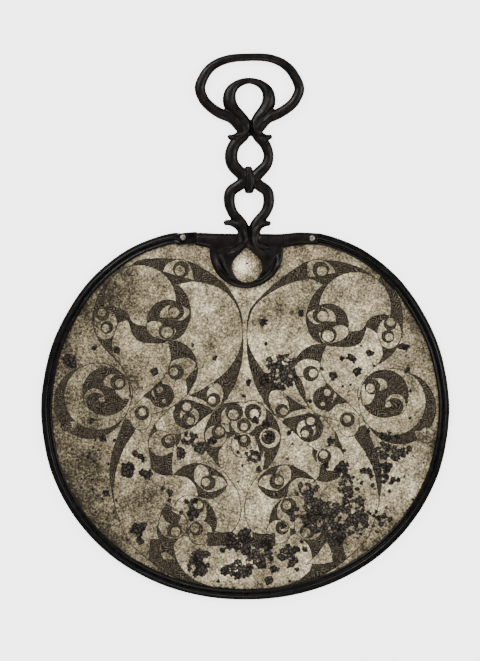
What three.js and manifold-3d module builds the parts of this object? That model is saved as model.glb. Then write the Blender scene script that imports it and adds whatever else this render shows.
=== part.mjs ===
// A bronze hand mirror with a cast looped handle, lying on its polished side.
//
// Millimetres, +Z up. The engraved back faces +Z and the handle points along +Y. The origin is at the
// bottom centre of the whole mirror. Until the last lines every height and place is measured from the
// middle of the plate: x to the right, y towards the handle, z up from the surface it lies on.
//
// The pieces, as they are put together:
//   mirror_plate  hammered sheet, its back engraved; the basket-hatched fields lie a little below the rest
//   rim_binding   cast tube with a slot, slipped over the plate's edge, open under the handle's arms
//   handle        one casting: top loop, three rings, fins, two arms and the crescents that grip the plate
//   rivet_left    fixes the left end of the rim to the plate
//   rivet_right   fixes the right arm of the handle to the plate
import * as THREE from 'three';
import { mergeVertices } from 'three/addons/utils/BufferGeometryUtils.js';
import Module from 'manifold-3d';

const wasm = await Module();
wasm.setup();

// ---- driving dimensions ----------------------------------------------------------------------------

const GAP = 0.3;                 // clearance left between pieces that touch
const PLATE_BOTTOM = 2.5;        // the sheet is held this far above the ground by its rim
const PLATE_THICK = 1.5;
const HATCH_DEPTH = 0.3;         // how far the hatched fields lie below the plain ones
const RIM_WIDTH = 7.0;           // outer face of the tube to the inner lip
const RIM_HEIGHT = 6.4;
const EDGE_INSET = 3.7;          // outer face of the tube to the edge of the sheet
const ROD_HEIGHT = 7.0;          // height of the handle's bars
const RIM_LEFT_END = -30.85;     // x where the rim stops and the left arm begins
const RIM_RIGHT_END = 46.15;     // x where the right arm stops and the rim begins
const BELOW = -1;                // heights clear of every piece, for cuts that go right through
const ABOVE = ROD_HEIGHT + 1;

// Right half of the rim's outer edge, from the foot of the mirror to the middle of the handle's arms.
const HALF_OUTLINE = [
  [0, -114.4], [30, -111.6], [59.1, -102.3], [86, -86], [108.2, -62.4], [123.5, -33], [129.8, 0], [128, 28],
  [119.8, 56], [101.9, 85.5], [79, 106], [56, 116.7], [34, 120.6], [16, 119.6],
];
const OUTLINE_STEPS = 2;         // straight pieces from one of these points to the next
const CROWN_DIP = 0.8;           // the middle of the crown lies this far below its last point
const CROWN = [100, 130];        // the stretch along y that takes in the whole crown

// ---- shape helpers ---------------------------------------------------------------------------------

// A smooth curve through points of any number of coordinates, with `steps` pieces between each pair.
function smooth(points, steps) {
  const curve = [];
  for (let i = 0; i < points.length - 1; i += 1) {
    const before = points[Math.max(i - 1, 0)];
    const from = points[i];
    const to = points[i + 1];
    const after = points[Math.min(i + 2, points.length - 1)];
    for (let step = 0; step < steps; step += 1) {
      const t = step / steps;
      curve.push(from.map((value, axis) => 0.5 * (2 * value + (to[axis] - before[axis]) * t
        + (2 * before[axis] - 5 * value + 4 * to[axis] - after[axis]) * t ** 2
        + (3 * value - before[axis] - 3 * to[axis] + after[axis]) * t ** 3)));
    }
  }
  curve.push(points.at(-1));
  return curve;
}

// A closed geometry from equal rings of [x, y, z] points; the ends are capped unless it closes on itself.
function loft(rings, closed = false) {
  const sides = rings[0].length;
  const index = [];
  const spans = closed ? rings.length : rings.length - 1;
  for (let ring = 0; ring < spans; ring += 1) {
    const next = (ring + 1) % rings.length;
    for (let side = 0; side < sides; side += 1) {
      const beside = (side + 1) % sides;
      const [a, b] = [ring * sides + side, ring * sides + beside];
      const [c, d] = [next * sides + side, next * sides + beside];
      index.push(a, c, b, b, c, d);
    }
  }
  if (!closed) {
    const last = (rings.length - 1) * sides;
    for (let side = 1; side < sides - 1; side += 1) {
      index.push(0, side, side + 1, last, last + side + 1, last + side);
    }
  }
  const geometry = new THREE.BufferGeometry();
  geometry.setAttribute('position', new THREE.Float32BufferAttribute(rings.flat(2), 3));
  geometry.setIndex(index);
  return geometry;
}

// A manifold solid from a closed geometry, turned outwards if its faces point in.
function solid(geometry) {
  const merged = geometry.clone();
  merged.deleteAttribute('normal');
  merged.deleteAttribute('uv');
  const shared = mergeVertices(merged, 1e-4);
  const vertProperties = new Float32Array(shared.attributes.position.array);
  const triVerts = new Uint32Array(shared.index.array);
  const body = new wasm.Manifold(new wasm.Mesh({ numProp: 3, vertProperties, triVerts }));
  if (body.volume() > 0) return body;
  for (let i = 0; i < triVerts.length; i += 3) [triVerts[i], triVerts[i + 1]] = [triVerts[i + 1], triVerts[i]];
  return new wasm.Manifold(new wasm.Mesh({ numProp: 3, vertProperties, triVerts }));
}

// The mesh of a finished solid.
function piece(name, body, material) {
  const { vertProperties, triVerts } = body.getMesh();
  const geometry = new THREE.BufferGeometry();
  geometry.setAttribute('position', new THREE.BufferAttribute(new Float32Array(vertProperties), 3));
  geometry.setIndex(new THREE.BufferAttribute(new Uint32Array(triVerts), 1));
  geometry.computeVertexNormals();
  const mesh = new THREE.Mesh(geometry, material);
  mesh.name = name;
  return mesh;
}

// A flat prism over a closed [x, y] outline, from one height to another.
function prism(outline, bottom, top) {
  const shape = new THREE.Shape(outline.map(([x, y]) => new THREE.Vector2(x, y)));
  const geometry = new THREE.ExtrudeGeometry(shape, { depth: top - bottom, bevelEnabled: false });
  return solid(geometry.translate(0, 0, bottom));
}

// A block that takes in the crown of the mirror between two x, from one height to another.
function acrossCrown(x0, x1, bottom, top) {
  const [y0, y1] = CROWN;
  return prism([[x0, y0], [x1, y0], [x1, y1], [x0, y1]], bottom, top);
}

const PIN_SIDES = 8;

// An upright round pin, or the hole that it leaves.
function round(x, y, radius, bottom, top) {
  const geometry = new THREE.CylinderGeometry(radius, radius, top - bottom, PIN_SIDES);
  return solid(geometry.rotateX(Math.PI / 2).translate(x, y, (bottom + top) / 2));
}

const SLENDER = 2.2;             // a bar is at most this many times as tall as it is wide

// A cast bar along [x, y, width] stations lying level, with eight rounded sides and flat top and bottom.
function bar(stations, steps, height = ROD_HEIGHT, sides = 8) {
  const line = smooth(stations, steps);
  const rings = line.map(([x, y, width], i) => {
    const [x0, y0] = line[Math.max(i - 1, 0)];
    const [x1, y1] = line[Math.min(i + 1, line.length - 1)];
    const length = Math.hypot(x1 - x0, y1 - y0);
    const across = [(y1 - y0) / length, -(x1 - x0) / length];
    const depth = Math.min(height, SLENDER * width) / (2 * Math.cos(Math.PI / sides));
    const reach = width / (2 * Math.cos(Math.PI / sides));
    return Array.from({ length: sides }, (unused, side) => {
      const angle = ((side + 0.5) / sides) * 2 * Math.PI;
      const out = reach * Math.cos(angle);
      return [x + across[0] * out, y + across[1] * out, ROD_HEIGHT / 2 + depth * Math.sin(angle)];
    });
  });
  return solid(loft(rings));
}

function join(bodies) {
  return bodies.reduce((whole, body) => whole.add(body));
}

// ---- outline of the mirror -------------------------------------------------------------------------

// The closed outer edge, counter-clockwise, drawn in by `inset` along its own normals.
function rimLine(inset) {
  const [foot, [nextX, nextY]] = HALF_OUTLINE;
  const right = smooth([[-nextX, nextY], ...HALF_OUTLINE], OUTLINE_STEPS).filter(([x]) => x > 0.01);
  const left = right.map(([x, y]) => [-x, y]).reverse();
  const edge = [foot, ...right, [0, HALF_OUTLINE.at(-1)[1] - CROWN_DIP], ...left];
  return edge.map(([x, y], i) => {
    const [x0, y0] = edge[(i + edge.length - 1) % edge.length];
    const [x1, y1] = edge[(i + 1) % edge.length];
    const length = Math.hypot(x1 - x0, y1 - y0);
    return [x - (inset * (y1 - y0)) / length, y + (inset * (x1 - x0)) / length];
  });
}

// ---- engraved ornament -----------------------------------------------------------------------------

// A field of the ornament is either hatched, and so lowered, or plain. The fields are laid one over
// another in the order they are listed, as cut paper would be. Each outline is a row of smooth strokes
// that meet in corners: every stroke starts where the one before it ended.
const hatched = (...strokes) => ({ fill: 'hatched', strokes });
const plain = (...strokes) => ({ fill: 'plain', strokes });
const hatchedDisc = (x, y, across, along = across) => ({ fill: 'hatched', x, y, across, along });
const plainDisc = (x, y, across, along = across) => ({ fill: 'plain', x, y, across, along });
const eyelet = (ring, pupil) => [hatchedDisc(...ring), plainDisc(...pupil)];

const LEFT_HALF = [
  // band over the whole crown, down beside the axis to a fin
  hatched(
    [[-73, 98], [-68, 101.4], [-60, 102.6], [-50, 102.7], [-37, 101], [-28, 97], [-18, 90.5], [-11, 84],
      [-5, 74], [-2.3, 66], [-1.8, 55], [-1.4, 47], [-2.5, 36], [-6, 24], [-10.5, 16], [-16, 10]],
    [[-25, 40]], [[-45, 60]], [[-60, 70]], [[-73, 98]]),
  // horn round the outside of the great disc
  hatched([[-83, 92], [-88.5, 86.5], [-94, 78], [-97, 66], [-96, 58], [-92, 49], [-86, 42], [-81, 38]],
    [[-75, 50]], [[-68, 72]], [[-83, 92]]),
  // great disc
  plainDisc(-67, 75.7, 23),
  // half lens at the top
  plain([[-52.5, 94.5], [-49.6, 99.5], [-42.5, 102.3], [-35.4, 99.5], [-32.4, 88.8]], [[-52.5, 94.5]]),
  ...eyelet([-40.8, 96, 5], [-41.5, 95.2, 3.4]),
  // second great lobe, running down to a point
  plain(
    [[-44.5, 86], [-38, 87.6], [-31.5, 88.2], [-16.6, 84.3], [-5.7, 73.4], [-1.9, 58.5], [-2.3, 49],
      [-5, 41], [-11, 32], [-19, 25], [-29, 18.5], [-37, 16]],
    [[-33, 22.5], [-30.3, 31], [-31.5, 39.5], [-36, 46], [-45, 50.3], [-50.5, 51]],
    [[-41.5, 56], [-36, 62], [-34.7, 68], [-36.5, 77.5], [-41, 84.3], [-44.5, 86]]),
  // fin over the foot of the great disc, and the twin-eyed oval beside it
  hatched([[-89, 71.8], [-85.5, 72.3], [-79, 70.7], [-75.7, 68.3], [-73.5, 65]], [[-72, 58]], [[-85, 56]],
    [[-89, 71.8]]),
  plainDisc(-89, 61, 7.7, 9.8),
  ...eyelet([-90.7, 67.3, 4], [-91.2, 68.3, 2.9]),
  ...eyelet([-88, 58.9, 3.9], [-88.8, 58.5, 2.7]),
  // swoosh under the great disc, and the long tear below it
  hatched([[-73.7, 65], [-71, 61.6], [-64, 59.4]], [[-58, 62]], [[-48, 58]], [[-49, 50.6]], [[-60, 45]],
    [[-75, 52]], [[-76, 62]], [[-73.7, 65]]),
  plain([[-81, 61.5], [-84.8, 50], [-84, 42], [-77.5, 32], [-72.5, 22], [-72, 14], [-76.5, 2]],
    [[-69, 10.5], [-61, 18], [-53, 26], [-48.5, 34], [-47, 42], [-48.5, 49]],
    [[-55, 49], [-65, 49.5], [-71, 54], [-74.5, 64]], [[-77.5, 63.2], [-81, 61.5]]),
  // roundel between the two great lobes, with two comma lobes
  hatchedDisc(-49.3, 63.4, 13),
  plain(
    [[-54.5, 65], [-54, 69], [-50, 72.8], [-44, 74], [-37, 71.3], [-35.2, 68.5], [-38.5, 64.3], [-42, 63]],
    [[-48, 65]], [[-54.5, 65]]),
  ...eyelet([-44, 69, 4.9], [-45.3, 68.5, 3.5]),
  plain([[-63, 60.5], [-62.2, 56.5], [-58, 52.8], [-51, 51.2], [-46, 52.5], [-43.5, 58]],
    [[-50, 60], [-55, 62.8], [-60, 63], [-63, 60.5]]),
  ...eyelet([-50, 56.5, 5], [-49.8, 55.9, 3.8]),
  // side circle, its crescent, its leaf, and the hatched roundel inside it
  hatchedDisc(-98.6, 11.2, 23),
  plainDisc(-94, 15, 21.3),
  plain([[-120, -8.5], [-115, -2], [-107, -1], [-110, -7], [-120, -8.5]]),
  hatchedDisc(-114, -3.8, 3.4),
  hatchedDisc(-88.3, 18.2, 15.2),
  plain([[-90.5, 22], [-90, 26], [-87, 28.8], [-83, 29.5], [-79, 28.8], [-74.5, 25]],
    [[-73.5, 14.5], [-76, 13.5], [-79, 14], [-82, 16.5], [-83, 19.5]], [[-90.5, 22]]),
  ...eyelet([-81, 24, 4.8], [-80, 23.5, 3]),
  plainDisc(-96, 13.4, 6.9),
  ...eyelet([-95.3, 11.8, 5.6], [-91.3, 12.9, 2.1]),
  // fin and lens beside the long tear
  hatched([[-49, 50], [-45, 50.3], [-40, 49], [-35, 45], [-32, 40], [-30.6, 34]], [[-37, 29]],
    [[-47, 36.5]], [[-47.3, 42], [-49, 50]]),
  plain([[-47.3, 36.5], [-45, 38.5], [-40, 40], [-35, 39.3], [-31, 36]], [[-33.5, 30.5], [-38, 29.2]],
    [[-47, 28], [-49, 31], [-47.3, 36.5]]),
  ...eyelet([-44, 30.5, 4.8], [-45.5, 30.8, 2.9]),
  hatched([[-30.3, 33], [-31, 27], [-33, 22.5], [-37, 16]],
    [[-36.8, 20], [-37.5, 25], [-36, 28], [-33, 31], [-30.3, 33]]),
  // small fin and roundel in the waist
  hatched([[-65, 15], [-60, 13], [-56, 9], [-53, 8]], [[-53, 24], [-57, 21.5], [-65, 15]]),
  hatchedDisc(-53, 15.5, 7.5),
  plain([[-60, 17], [-58.5, 20], [-57, 13]], [[-60, 17]]),
  ...eyelet([-54.5, 19.3, 4], [-54.5, 19.3, 2.4]),
  ...eyelet([-51.5, 12, 3], [-51.5, 12, 1.6]),
  // long tapering band down the outside, and the oval at its head
  hatched([[-76.5, 1], [-80.5, -9], [-84.5, -21], [-86.3, -33], [-85.2, -44], [-83.3, -54]],
    [[-84.2, -46], [-83.7, -40], [-81.5, -29], [-77, -17.5], [-71, -8], [-68, -2]], [[-76.5, 1]]),
  plainDisc(-66.5, 1.5, 6.8, 7.9),
  ...eyelet([-65.7, 4.5, 4.5], [-65.5, 5, 2.7]),
  // twin-eyed roundel beside the centre, the fins round it, and the egg
  hatched([[-45, 9], [-38, 13], [-30, 11], [-22, 7.5], [-20.5, 5]], [[-25, 2.5], [-33, -4], [-38, -6]],
    [[-45, 9]]),
  hatchedDisc(-37, 3.5, 8.7),
  plainDisc(-35.5, 2.5, 6.2),
  ...eyelet([-37.2, 8.5, 3.9], [-37.2, 8.5, 2.8]),
  ...eyelet([-36, 0.3, 4.2], [-35, -0.5, 2.5]),
  hatched([[-35, 15.6], [-29, 18.5], [-24, 21.4]], [[-19, 19]], [[-20, 8.5], [-26, 12.5], [-35, 15.6]]),
  hatched([[-18.5, 24]], [[-11, 14]], [[-16, 9]], [[-20, 9]], [[-24, 14], [-18.5, 24]]),
  plain(
    [[-18.5, 24], [-15, 21.5], [-13.7, 16], [-15.5, 10.5], [-19, 8.4], [-23, 10], [-24.6, 15],
      [-23.5, 19.5], [-18.5, 24]]),
  ...eyelet([-20, 13, 4.1], [-21, 12.5, 2.7]),
  // strip, circle and fins over the eye
  hatched([[-57.5, -2], [-60, -8], [-61.7, -14], [-61, -20]],
    [[-60, -28], [-59.6, -31], [-53, -34.8], [-46.3, -35]], [[-46.8, -28], [-46, -20.5]], [[-50, -22]],
    [[-60.5, -19]], [[-58, -12]], [[-54, -12], [-55.5, -9], [-57.5, -2]]),
  plainDisc(-53.5, -15, 8.2),
  ...eyelet([-49, -13.5, 4.3], [-48.5, -12.5, 2.8]),
  hatched([[-44.5, -10], [-41, -9]], [[-41.5, -13], [-44, -17]], [[-44.5, -10]]),
  // eye with its two-lobed pupil
  hatched(
    [[-46, -35], [-42, -31.5], [-38, -29], [-30, -27.5], [-21, -30.5], [-14, -35.5], [-11.5, -40.5],
      [-14, -45.5], [-21, -50], [-30, -48.5]],
    [[-30.3, -46], [-31.5, -42], [-34, -38.8], [-38, -36], [-46, -35]]),
  plain(
    [[-32.8, -35], [-32, -39], [-26, -45], [-21, -45.8], [-13, -42.5], [-11.8, -40.3], [-14.5, -36.7],
      [-19, -35.2], [-22, -36.2]],
    [[-22.8, -34.5], [-24, -31], [-26.5, -28.8], [-29.5, -28.3], [-32.3, -31.5], [-32.8, -35]]),
  ...eyelet([-23.7, -40, 4.6], [-25, -39.5, 2.9]),
  // trefoil of three circles
  hatched([[-50, -53.5], [-53, -58], [-55.5, -66], [-56, -72], [-54, -77]], [[-38, -72]], [[-27, -78]],
    [[-21, -78]], [[-18.8, -69], [-18.2, -65], [-20.5, -57], [-26, -50.7]], [[-35, -62]], [[-50, -53.5]]),
  plainDisc(-35.1, -58.5, 10.8),
  ...eyelet([-31, -54.5, 5], [-30, -54, 3]),
  plainDisc(-46.1, -66.5, 9.3),
  hatched([[-53.5, -58.5], [-48, -57]], [[-41, -61.5]],
    [[-43, -66], [-46, -66], [-50, -64.5], [-53.5, -58.5]]),
  ...eyelet([-45, -70.2, 4.5], [-44.3, -71, 3.2]),
  plainDisc(-28.5, -71.7, 7.7),
  ...eyelet([-31, -69.3, 4.1], [-32, -68.8, 3]),
  // foot band with its small leaf, and the block beside the axis
  hatched([[-61.5, -89], [-55, -94], [-45, -100], [-35, -103.5], [-27, -105.3], [-20, -106.5]],
    [[-30, -103], [-38.5, -97], [-43, -90], [-45.7, -81], [-43, -75.7]], [[-52, -75.6], [-60, -76]],
    [[-61.5, -89]]),
  plain([[-54, -85], [-50, -84], [-44.5, -88.7]], [[-52, -89]], [[-54, -85]]),
  hatched([[-8, -71], [-16, -71.8], [-24, -71.5]], [[-24, -80]], [[-8, -80]], [[-8, -71]]),
];

// Only on the right half: the foot band there holds a larger plain leaf.
const RIGHT_ONLY = [
  plain([[51.8, -76.8], [54.8, -83], [55.9, -90.3]], [[48, -91.8], [39.4, -91.2]],
    [[45.5, -85.5], [51.8, -76.8]]),
];

// The roundel on the axis, which joins the two halves.
const CENTRE_ROUNDEL = [
  hatched([[-5, 11.3], [-12, 10.5], [-17, 7.5], [-21, 4], [-25.3, -5], [-26, -11], [-24.5, -20]],
    [[-20, -25.5], [-16.5, -30]], [[-17.5, -24], [-17, -20]], [[-12, -12]], [[-6, -8.6]], [[0, -9]],
    [[6, -10]], [[9, -20], [7, -22.5]], [[10, -24]], [[12, -20]], [[12.5, -26], [11.5, -31], [14, -31]],
    [[18.5, -24.5], [21.5, -17], [22.5, -10], [20, -1], [14, 6.5], [8, 10.3], [0, 11.6], [-5, 11.3]]),
  plain([[-5, 11], [-13, 7.5], [-15.7, 2], [-14.5, -5.5], [-10, -8]], [[-9.5, -1], [-5, -4]], [[0, 0]],
    [[0, 11.5]], [[-5, 11]]),
  plainDisc(5, 4, 8.5),
  plainDisc(-1, -0.5, 8.6),
  ...eyelet([-7, 5, 5.5], [-7.5, 3.5, 3.4]),
  ...eyelet([5, 5, 5.3], [5.7, 3.8, 3.2]),
  ...eyelet([-0.7, -3.2, 4.3], [-0.7, -4.2, 2.6]),
  plainDisc(-18.7, -10.3, 7),
  ...eyelet([-17, -7.7, 4.3], [-16.3, -7.2, 3]),
  plainDisc(15.6, -11.3, 6.6),
  ...eyelet([14.8, -11, 4.4], [12.3, -9.5, 1.6]),
  plainDisc(-1, -16, 8),
  ...eyelet([-0.6, -13.2, 4], [-0.9, -12.3, 2.3]),
];

// The right half was engraved by hand after the left, so it mirrors it only roughly. Each pair gives a
// mark on the left half and where its twin lies on the right.
const TWINS = [
  [[-40.8, 96], [48.5, 95.6]], [[-52.5, 94.5], [57.7, 93.6]], [[-32.4, 88.8], [40, 90.5]],
  [[-67, 75.7], [70, 71.3]], [[-44, 69], [48, 66.6]], [[-50, 56.5], [53, 54.1]],
  [[-90.7, 67.3], [91.8, 61.2]], [[-88, 58.9], [90.9, 53.2]], [[-94, 15], [93.6, 11.3]],
  [[-73, 18], [71.5, 14]], [[-88.3, 18.2], [88.7, 17]], [[-114, -3.8], [115, -10]],
  [[-45.5, 30.8], [43.1, 29.9]], [[-47, 40], [48.7, 39]], [[-53, 15.5], [50.7, 13.9]],
  [[-20, 13], [23.5, 5.9]], [[-65.7, 4.5], [65, 0.2]], [[-37.2, 8.5], [41.8, -0.7]],
  [[-35, -0.5], [38.2, -8.7]], [[-48.5, -12.5], [49.8, -22.1]], [[-24, -40], [20.4, -39.1]],
  [[-30, -54], [26.6, -54.2]], [[-32, -68.8], [24.4, -68.1]], [[-44.3, -71], [38.7, -71.7]],
  [[-1.8, 57], [1.2, 57]], [[-3, 36], [3, 36]], [[-18.2, -65], [15.2, -66]],
  [[-2.7, -58], [-0.4, -58]], [[-68, 101.4], [74, 96.2]], [[-60, 102.6], [65.5, 99.5]],
  [[-37, 101], [40.5, 101.2]], [[-88.5, 86.5], [92, 87]], [[-95.5, 74], [100.8, 70]],
  [[-97, 62], [100.5, 56]], [[-72, 14], [74, 10]], [[-10, 16], [10.5, 14]],
  [[-86, -38], [86.5, -42]], [[-83.3, -54], [84.5, -56]], [[-75, -76], [78, -75]],
  [[-60, -90], [63, -89.5]], [[-35, -103.5], [37, -103.5]],
];
const TWIN_BLEND = 20;           // square millimetres; how softly one pair's shift passes into the next

// The place on the right half that answers to a place on the left.
function twinOf([x, y]) {
  let [total, shiftX, shiftY] = [0, 0, 0];
  for (const [[leftX, leftY], [rightX, rightY]] of TWINS) {
    const weight = 1 / ((x - leftX) ** 2 + (y - leftY) ** 2 + TWIN_BLEND) ** 2;
    total += weight;
    shiftX += weight * (rightX + leftX);
    shiftY += weight * (rightY - leftY);
  }
  return [shiftX / total - x, y + shiftY / total];
}

const FLATNESS = 0.9;            // how far a straight piece may cut inside a field's true curve
const STROKE_STEPS = 3;          // pieces between two points of a stroke, before it is thinned

// A row of points with those left out that lie closer than FLATNESS to the line they are on.
function thin(points) {
  const [start, end] = [points[0], points.at(-1)];
  const length = Math.hypot(end[0] - start[0], end[1] - start[1]) || 1;
  const off = points.map(([x, y]) => Math.abs(
    (end[0] - start[0]) * (y - start[1]) - (end[1] - start[1]) * (x - start[0]),
  ) / length);
  const farthest = off.indexOf(Math.max(...off));
  if (points.length < 3 || off[farthest] < FLATNESS) return [start, end];
  return [...thin(points.slice(0, farthest + 1)).slice(0, -1), ...thin(points.slice(farthest))];
}

// The closed [x, y] outline of a field.
function outlineOf(field) {
  if (field.strokes) {
    const outline = [];
    for (const stroke of field.strokes) {
      const points = outline.length ? [outline.pop(), ...stroke] : stroke;
      outline.push(...thin(points.length > 2 ? smooth(points, STROKE_STEPS) : points));
    }
    const [start, end] = [outline[0], outline.at(-1)];
    if (Math.hypot(start[0] - end[0], start[1] - end[1]) < 0.01) outline.pop();
    return outline;
  }
  const sides = Math.ceil(Math.PI / Math.acos(1 - FLATNESS / field.across));
  return Array.from({ length: sides }, (unused, side) => {
    const angle = (side / sides) * 2 * Math.PI;
    return [field.x + field.across * Math.cos(angle), field.y + field.along * Math.sin(angle)];
  });
}

// The same field on the right half. Discs stay round, as the compass drew them.
function twinField(field) {
  if (field.strokes) return { fill: field.fill, strokes: field.strokes.map((stroke) => stroke.map(twinOf)) };
  const [x, y] = twinOf([field.x, field.y]);
  return { ...field, x, y };
}

// Everything hatched, as one solid between two heights.
function hatchedFields(bottom, top) {
  const fields = [...LEFT_HALF, ...LEFT_HALF.map(twinField), ...RIGHT_ONLY, ...CENTRE_ROUNDEL];
  let hatch;
  for (const field of fields) {
    const prismHere = prism(outlineOf(field), bottom, top);
    if (field.fill === 'hatched') hatch = hatch ? hatch.add(prismHere) : prismHere;
    else hatch = hatch.subtract(prismHere);
  }
  return hatch;
}

// ---- the plate and its rim -------------------------------------------------------------------------

const PLATE_TOP = PLATE_BOTTOM + PLATE_THICK;
const RIVET_LEFT = [-39.6, 116.2];
const RIVET_RIGHT = [42.5, 115.6];
const RIVET_SHANK = 1.1;         // radius
const RIVET_HEAD = 1.9;          // radius
const RIVET_HEAD_RISE = 0.9;
const RIVET_FOOT = PLATE_BOTTOM - 1;
const RIVET_DOME_STEPS = 4;
// The rim's left end is hammered flat under its rivet, as a pad along these [x, y, width] stations.
const RIM_PAD = [[RIM_LEFT_END, 116.8, 7.4], [-37, 116.6, 7.2], [-44, 115.9, 6.4]];
const RIM_PAD_TOP = 5.9;

// The hole each rivet's shank passes through.
function rivetHoles() {
  return [RIVET_LEFT, RIVET_RIGHT].map(([x, y]) => round(x, y, RIVET_SHANK + GAP, BELOW, ABOVE));
}

function makePlate() {
  const sheet = prism(rimLine(EDGE_INSET), PLATE_BOTTOM, PLATE_TOP);
  const engraved = sheet.subtract(hatchedFields(PLATE_TOP - HATCH_DEPTH, ABOVE));
  return rivetHoles().reduce((plate, hole) => plate.subtract(hole), engraved);
}

// Section of the tube as [distance in from the outer face, height]: a round band outside, a thin lip
// inside it, and a slot that takes the edge of the sheet.
function rimSection() {
  const slotBottom = PLATE_BOTTOM - GAP;
  const slotTop = PLATE_TOP + GAP;
  const slotBack = EDGE_INSET - GAP;
  return [
    [0, 4.6], [0, 1.8], [1.8, 0], [4, 0], [5, 1.2], [RIM_WIDTH, 1.3], [RIM_WIDTH, slotBottom],
    [slotBack, slotBottom], [slotBack, slotTop], [RIM_WIDTH, slotTop], [RIM_WIDTH, 5.2], [4.9, 5.2],
    [3.9, RIM_HEIGHT], [1.9, RIM_HEIGHT],
  ];
}

function makeRim() {
  const section = rimSection();
  const edges = section.map(([inset, z]) => rimLine(inset).map(([x, y]) => [x, y, z]));
  const rings = edges[0].map((unused, station) => edges.map((edge) => edge[station]));
  const mouth = acrossCrown(RIM_LEFT_END, RIM_RIGHT_END, BELOW, ABOVE);
  const padHeight = RIM_PAD_TOP - PLATE_TOP - GAP;
  const pad = bar(RIM_PAD, 1, padHeight).translate([0, 0, RIM_PAD_TOP - (ROD_HEIGHT + padHeight) / 2]);
  const abovePad = acrossCrown(RIM_PAD.at(-1)[0] - 1, RIM_LEFT_END + 1, RIM_PAD_TOP, ABOVE);
  const rim = solid(loft(rings, true)).subtract(mouth).add(pad).subtract(abovePad);
  return rivetHoles().reduce((body, hole) => body.subtract(hole), rim);
}

// ---- the handle ------------------------------------------------------------------------------------

const CRESCENT_RADIUS = 23.4;
const CRESCENT_BACK_RADIUS = 22.4;
const CRESCENT_CENTRE = [0.7, 107.3];
const CRESCENT_SWEEP = 0.16;     // how far past level the half-moon's ends run, in radians
const CRESCENT_PEAK = 112.4;     // y where its straight upper edges meet, under the arms
const CRESCENT_BEVEL = 0.8;
const CURVE_STEPS = 12;          // pieces in a half-moon's or the window's round edge
const WINDOW_RADIUS = 9.5;       // tear-shaped window in the crescent
const WINDOW_CENTRE = [1.2, 97.1];
const WINDOW_POINT = 110.4;      // y of its upper point
const CRESCENT_TOP = 6.6;
const CRESCENT_FOOT = 0.4;       // the one under the sheet stays this far above the ground
const ARM_HEIGHT = 6.4;

// The bars of the casting, each a row of [x, y, width] stations from its free end or crown downwards.
const LEFT_BARS = {
  loop: [[2.5, 231, 4.4], [-12, 229.5, 4.7], [-22.6, 223.8, 5.4], [-28.6, 213, 6.3], [-26.9, 205, 6],
    [-22.6, 199.8, 6], [-16.2, 195.3, 6.2], [-9.5, 191.2, 6.6], [-4.2, 186, 7.2], [-3.8, 181.8, 5.6],
    [-7.4, 179.9, 3.4], [-10.6, 180, 2.6]],
  upperRing: [[2.5, 216, 3.4], [-4.6, 214, 4.6], [-9.2, 209.2, 6.8], [-10, 203, 8], [-7.6, 197.4, 8],
    [-3, 192, 7.6], [0.2, 187, 6.6], [0, 181, 5]],
  middleRing: [[1, 186, 6], [-1.6, 180.6, 6], [-6.6, 175.6, 7], [-8.9, 168.8, 7.6], [-7.8, 162.6, 7.6],
    [-3.6, 157.4, 7.2], [-1.2, 153.4, 7], [-3.8, 149.8, 6.6], [-9.2, 145.4, 6.6], [-10, 138.5, 6.5],
    [-8, 132.2, 6], [-4, 127.2, 6.2], [-1.4, 122.6, 6.6], [-1.2, 114, 7]],
  lowerFin: [[-12.8, 125.9, 2.6], [-9.6, 125.6, 3.2], [-4.6, 123.6, 4.6], [-1, 119.6, 6.4], [0, 113, 7]],
  arm: [[2, 112.8, 10.6], [-8, 113.7, 10.2], [-18, 115, 8.8], [-32, 116.3, 8.8]],
};
const RIGHT_BARS = {
  loop: [[2.5, 231, 4.4], [17, 230, 4.7], [27.8, 224, 5.4], [34.3, 212.4, 5.9], [32.2, 204.4, 6],
    [27.8, 199.4, 6], [21, 195, 6.2], [14.6, 191.4, 6.6], [9.8, 186, 7.2], [9.4, 181.8, 5.6],
    [13, 179.9, 3.4], [16.4, 180, 2.6]],
  upperRing: [[2.5, 216, 3.4], [9.6, 214, 4.6], [14.2, 209.2, 6.8], [15.1, 203, 8], [12.8, 197.4, 8],
    [8.2, 192, 7.6], [5.4, 187, 6.6], [5.4, 181, 5]],
  middleRing: [[4.8, 186, 6], [7.8, 180.6, 6], [12.6, 175.4, 6.2], [14.9, 168.8, 5.9], [13.4, 162.4, 6.4],
    [9, 157.2, 7], [6, 153.4, 7], [9, 149.8, 6.6], [14, 145.4, 6.6], [15, 138.5, 6.5],
    [12.9, 132.2, 6], [8.8, 127.2, 6.2], [6.2, 122.6, 6.6], [5.8, 114, 7]],
  lowerFin: [[15.6, 125.4, 2.6], [12.6, 125, 3.2], [8.8, 123.4, 4.6], [6, 119.6, 6.4], [4.8, 113, 7]],
  arm: [[2, 112.8, 10.6], [12, 113.7, 10.2], [24, 115.4, 8.4], [35, 116.1, 8.4], [48, 115.5, 8.2]],
};
const COLLAR_RISE = 0.5;         // the collar stands this far above the bars it ties
const COLLAR = [[2.3, 161.6, 4], [2.3, 158, 4.8], [2.7, 153, 5.8], [2.7, 148.5, 6], [2.7, 144.8, 5.2]];

// The tear-shaped window's outline, point uppermost.
function tear() {
  const [x, y] = WINDOW_CENTRE;
  const side = Math.acos(WINDOW_RADIUS / (WINDOW_POINT - y));
  const path = new THREE.Path();
  path.moveTo(x, WINDOW_POINT);
  path.absarc(x, y, WINDOW_RADIUS, Math.PI / 2 + side, 2.5 * Math.PI - side, false);
  return path.getPoints(CURVE_STEPS).map((point) => [point.x, point.y]);
}

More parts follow.
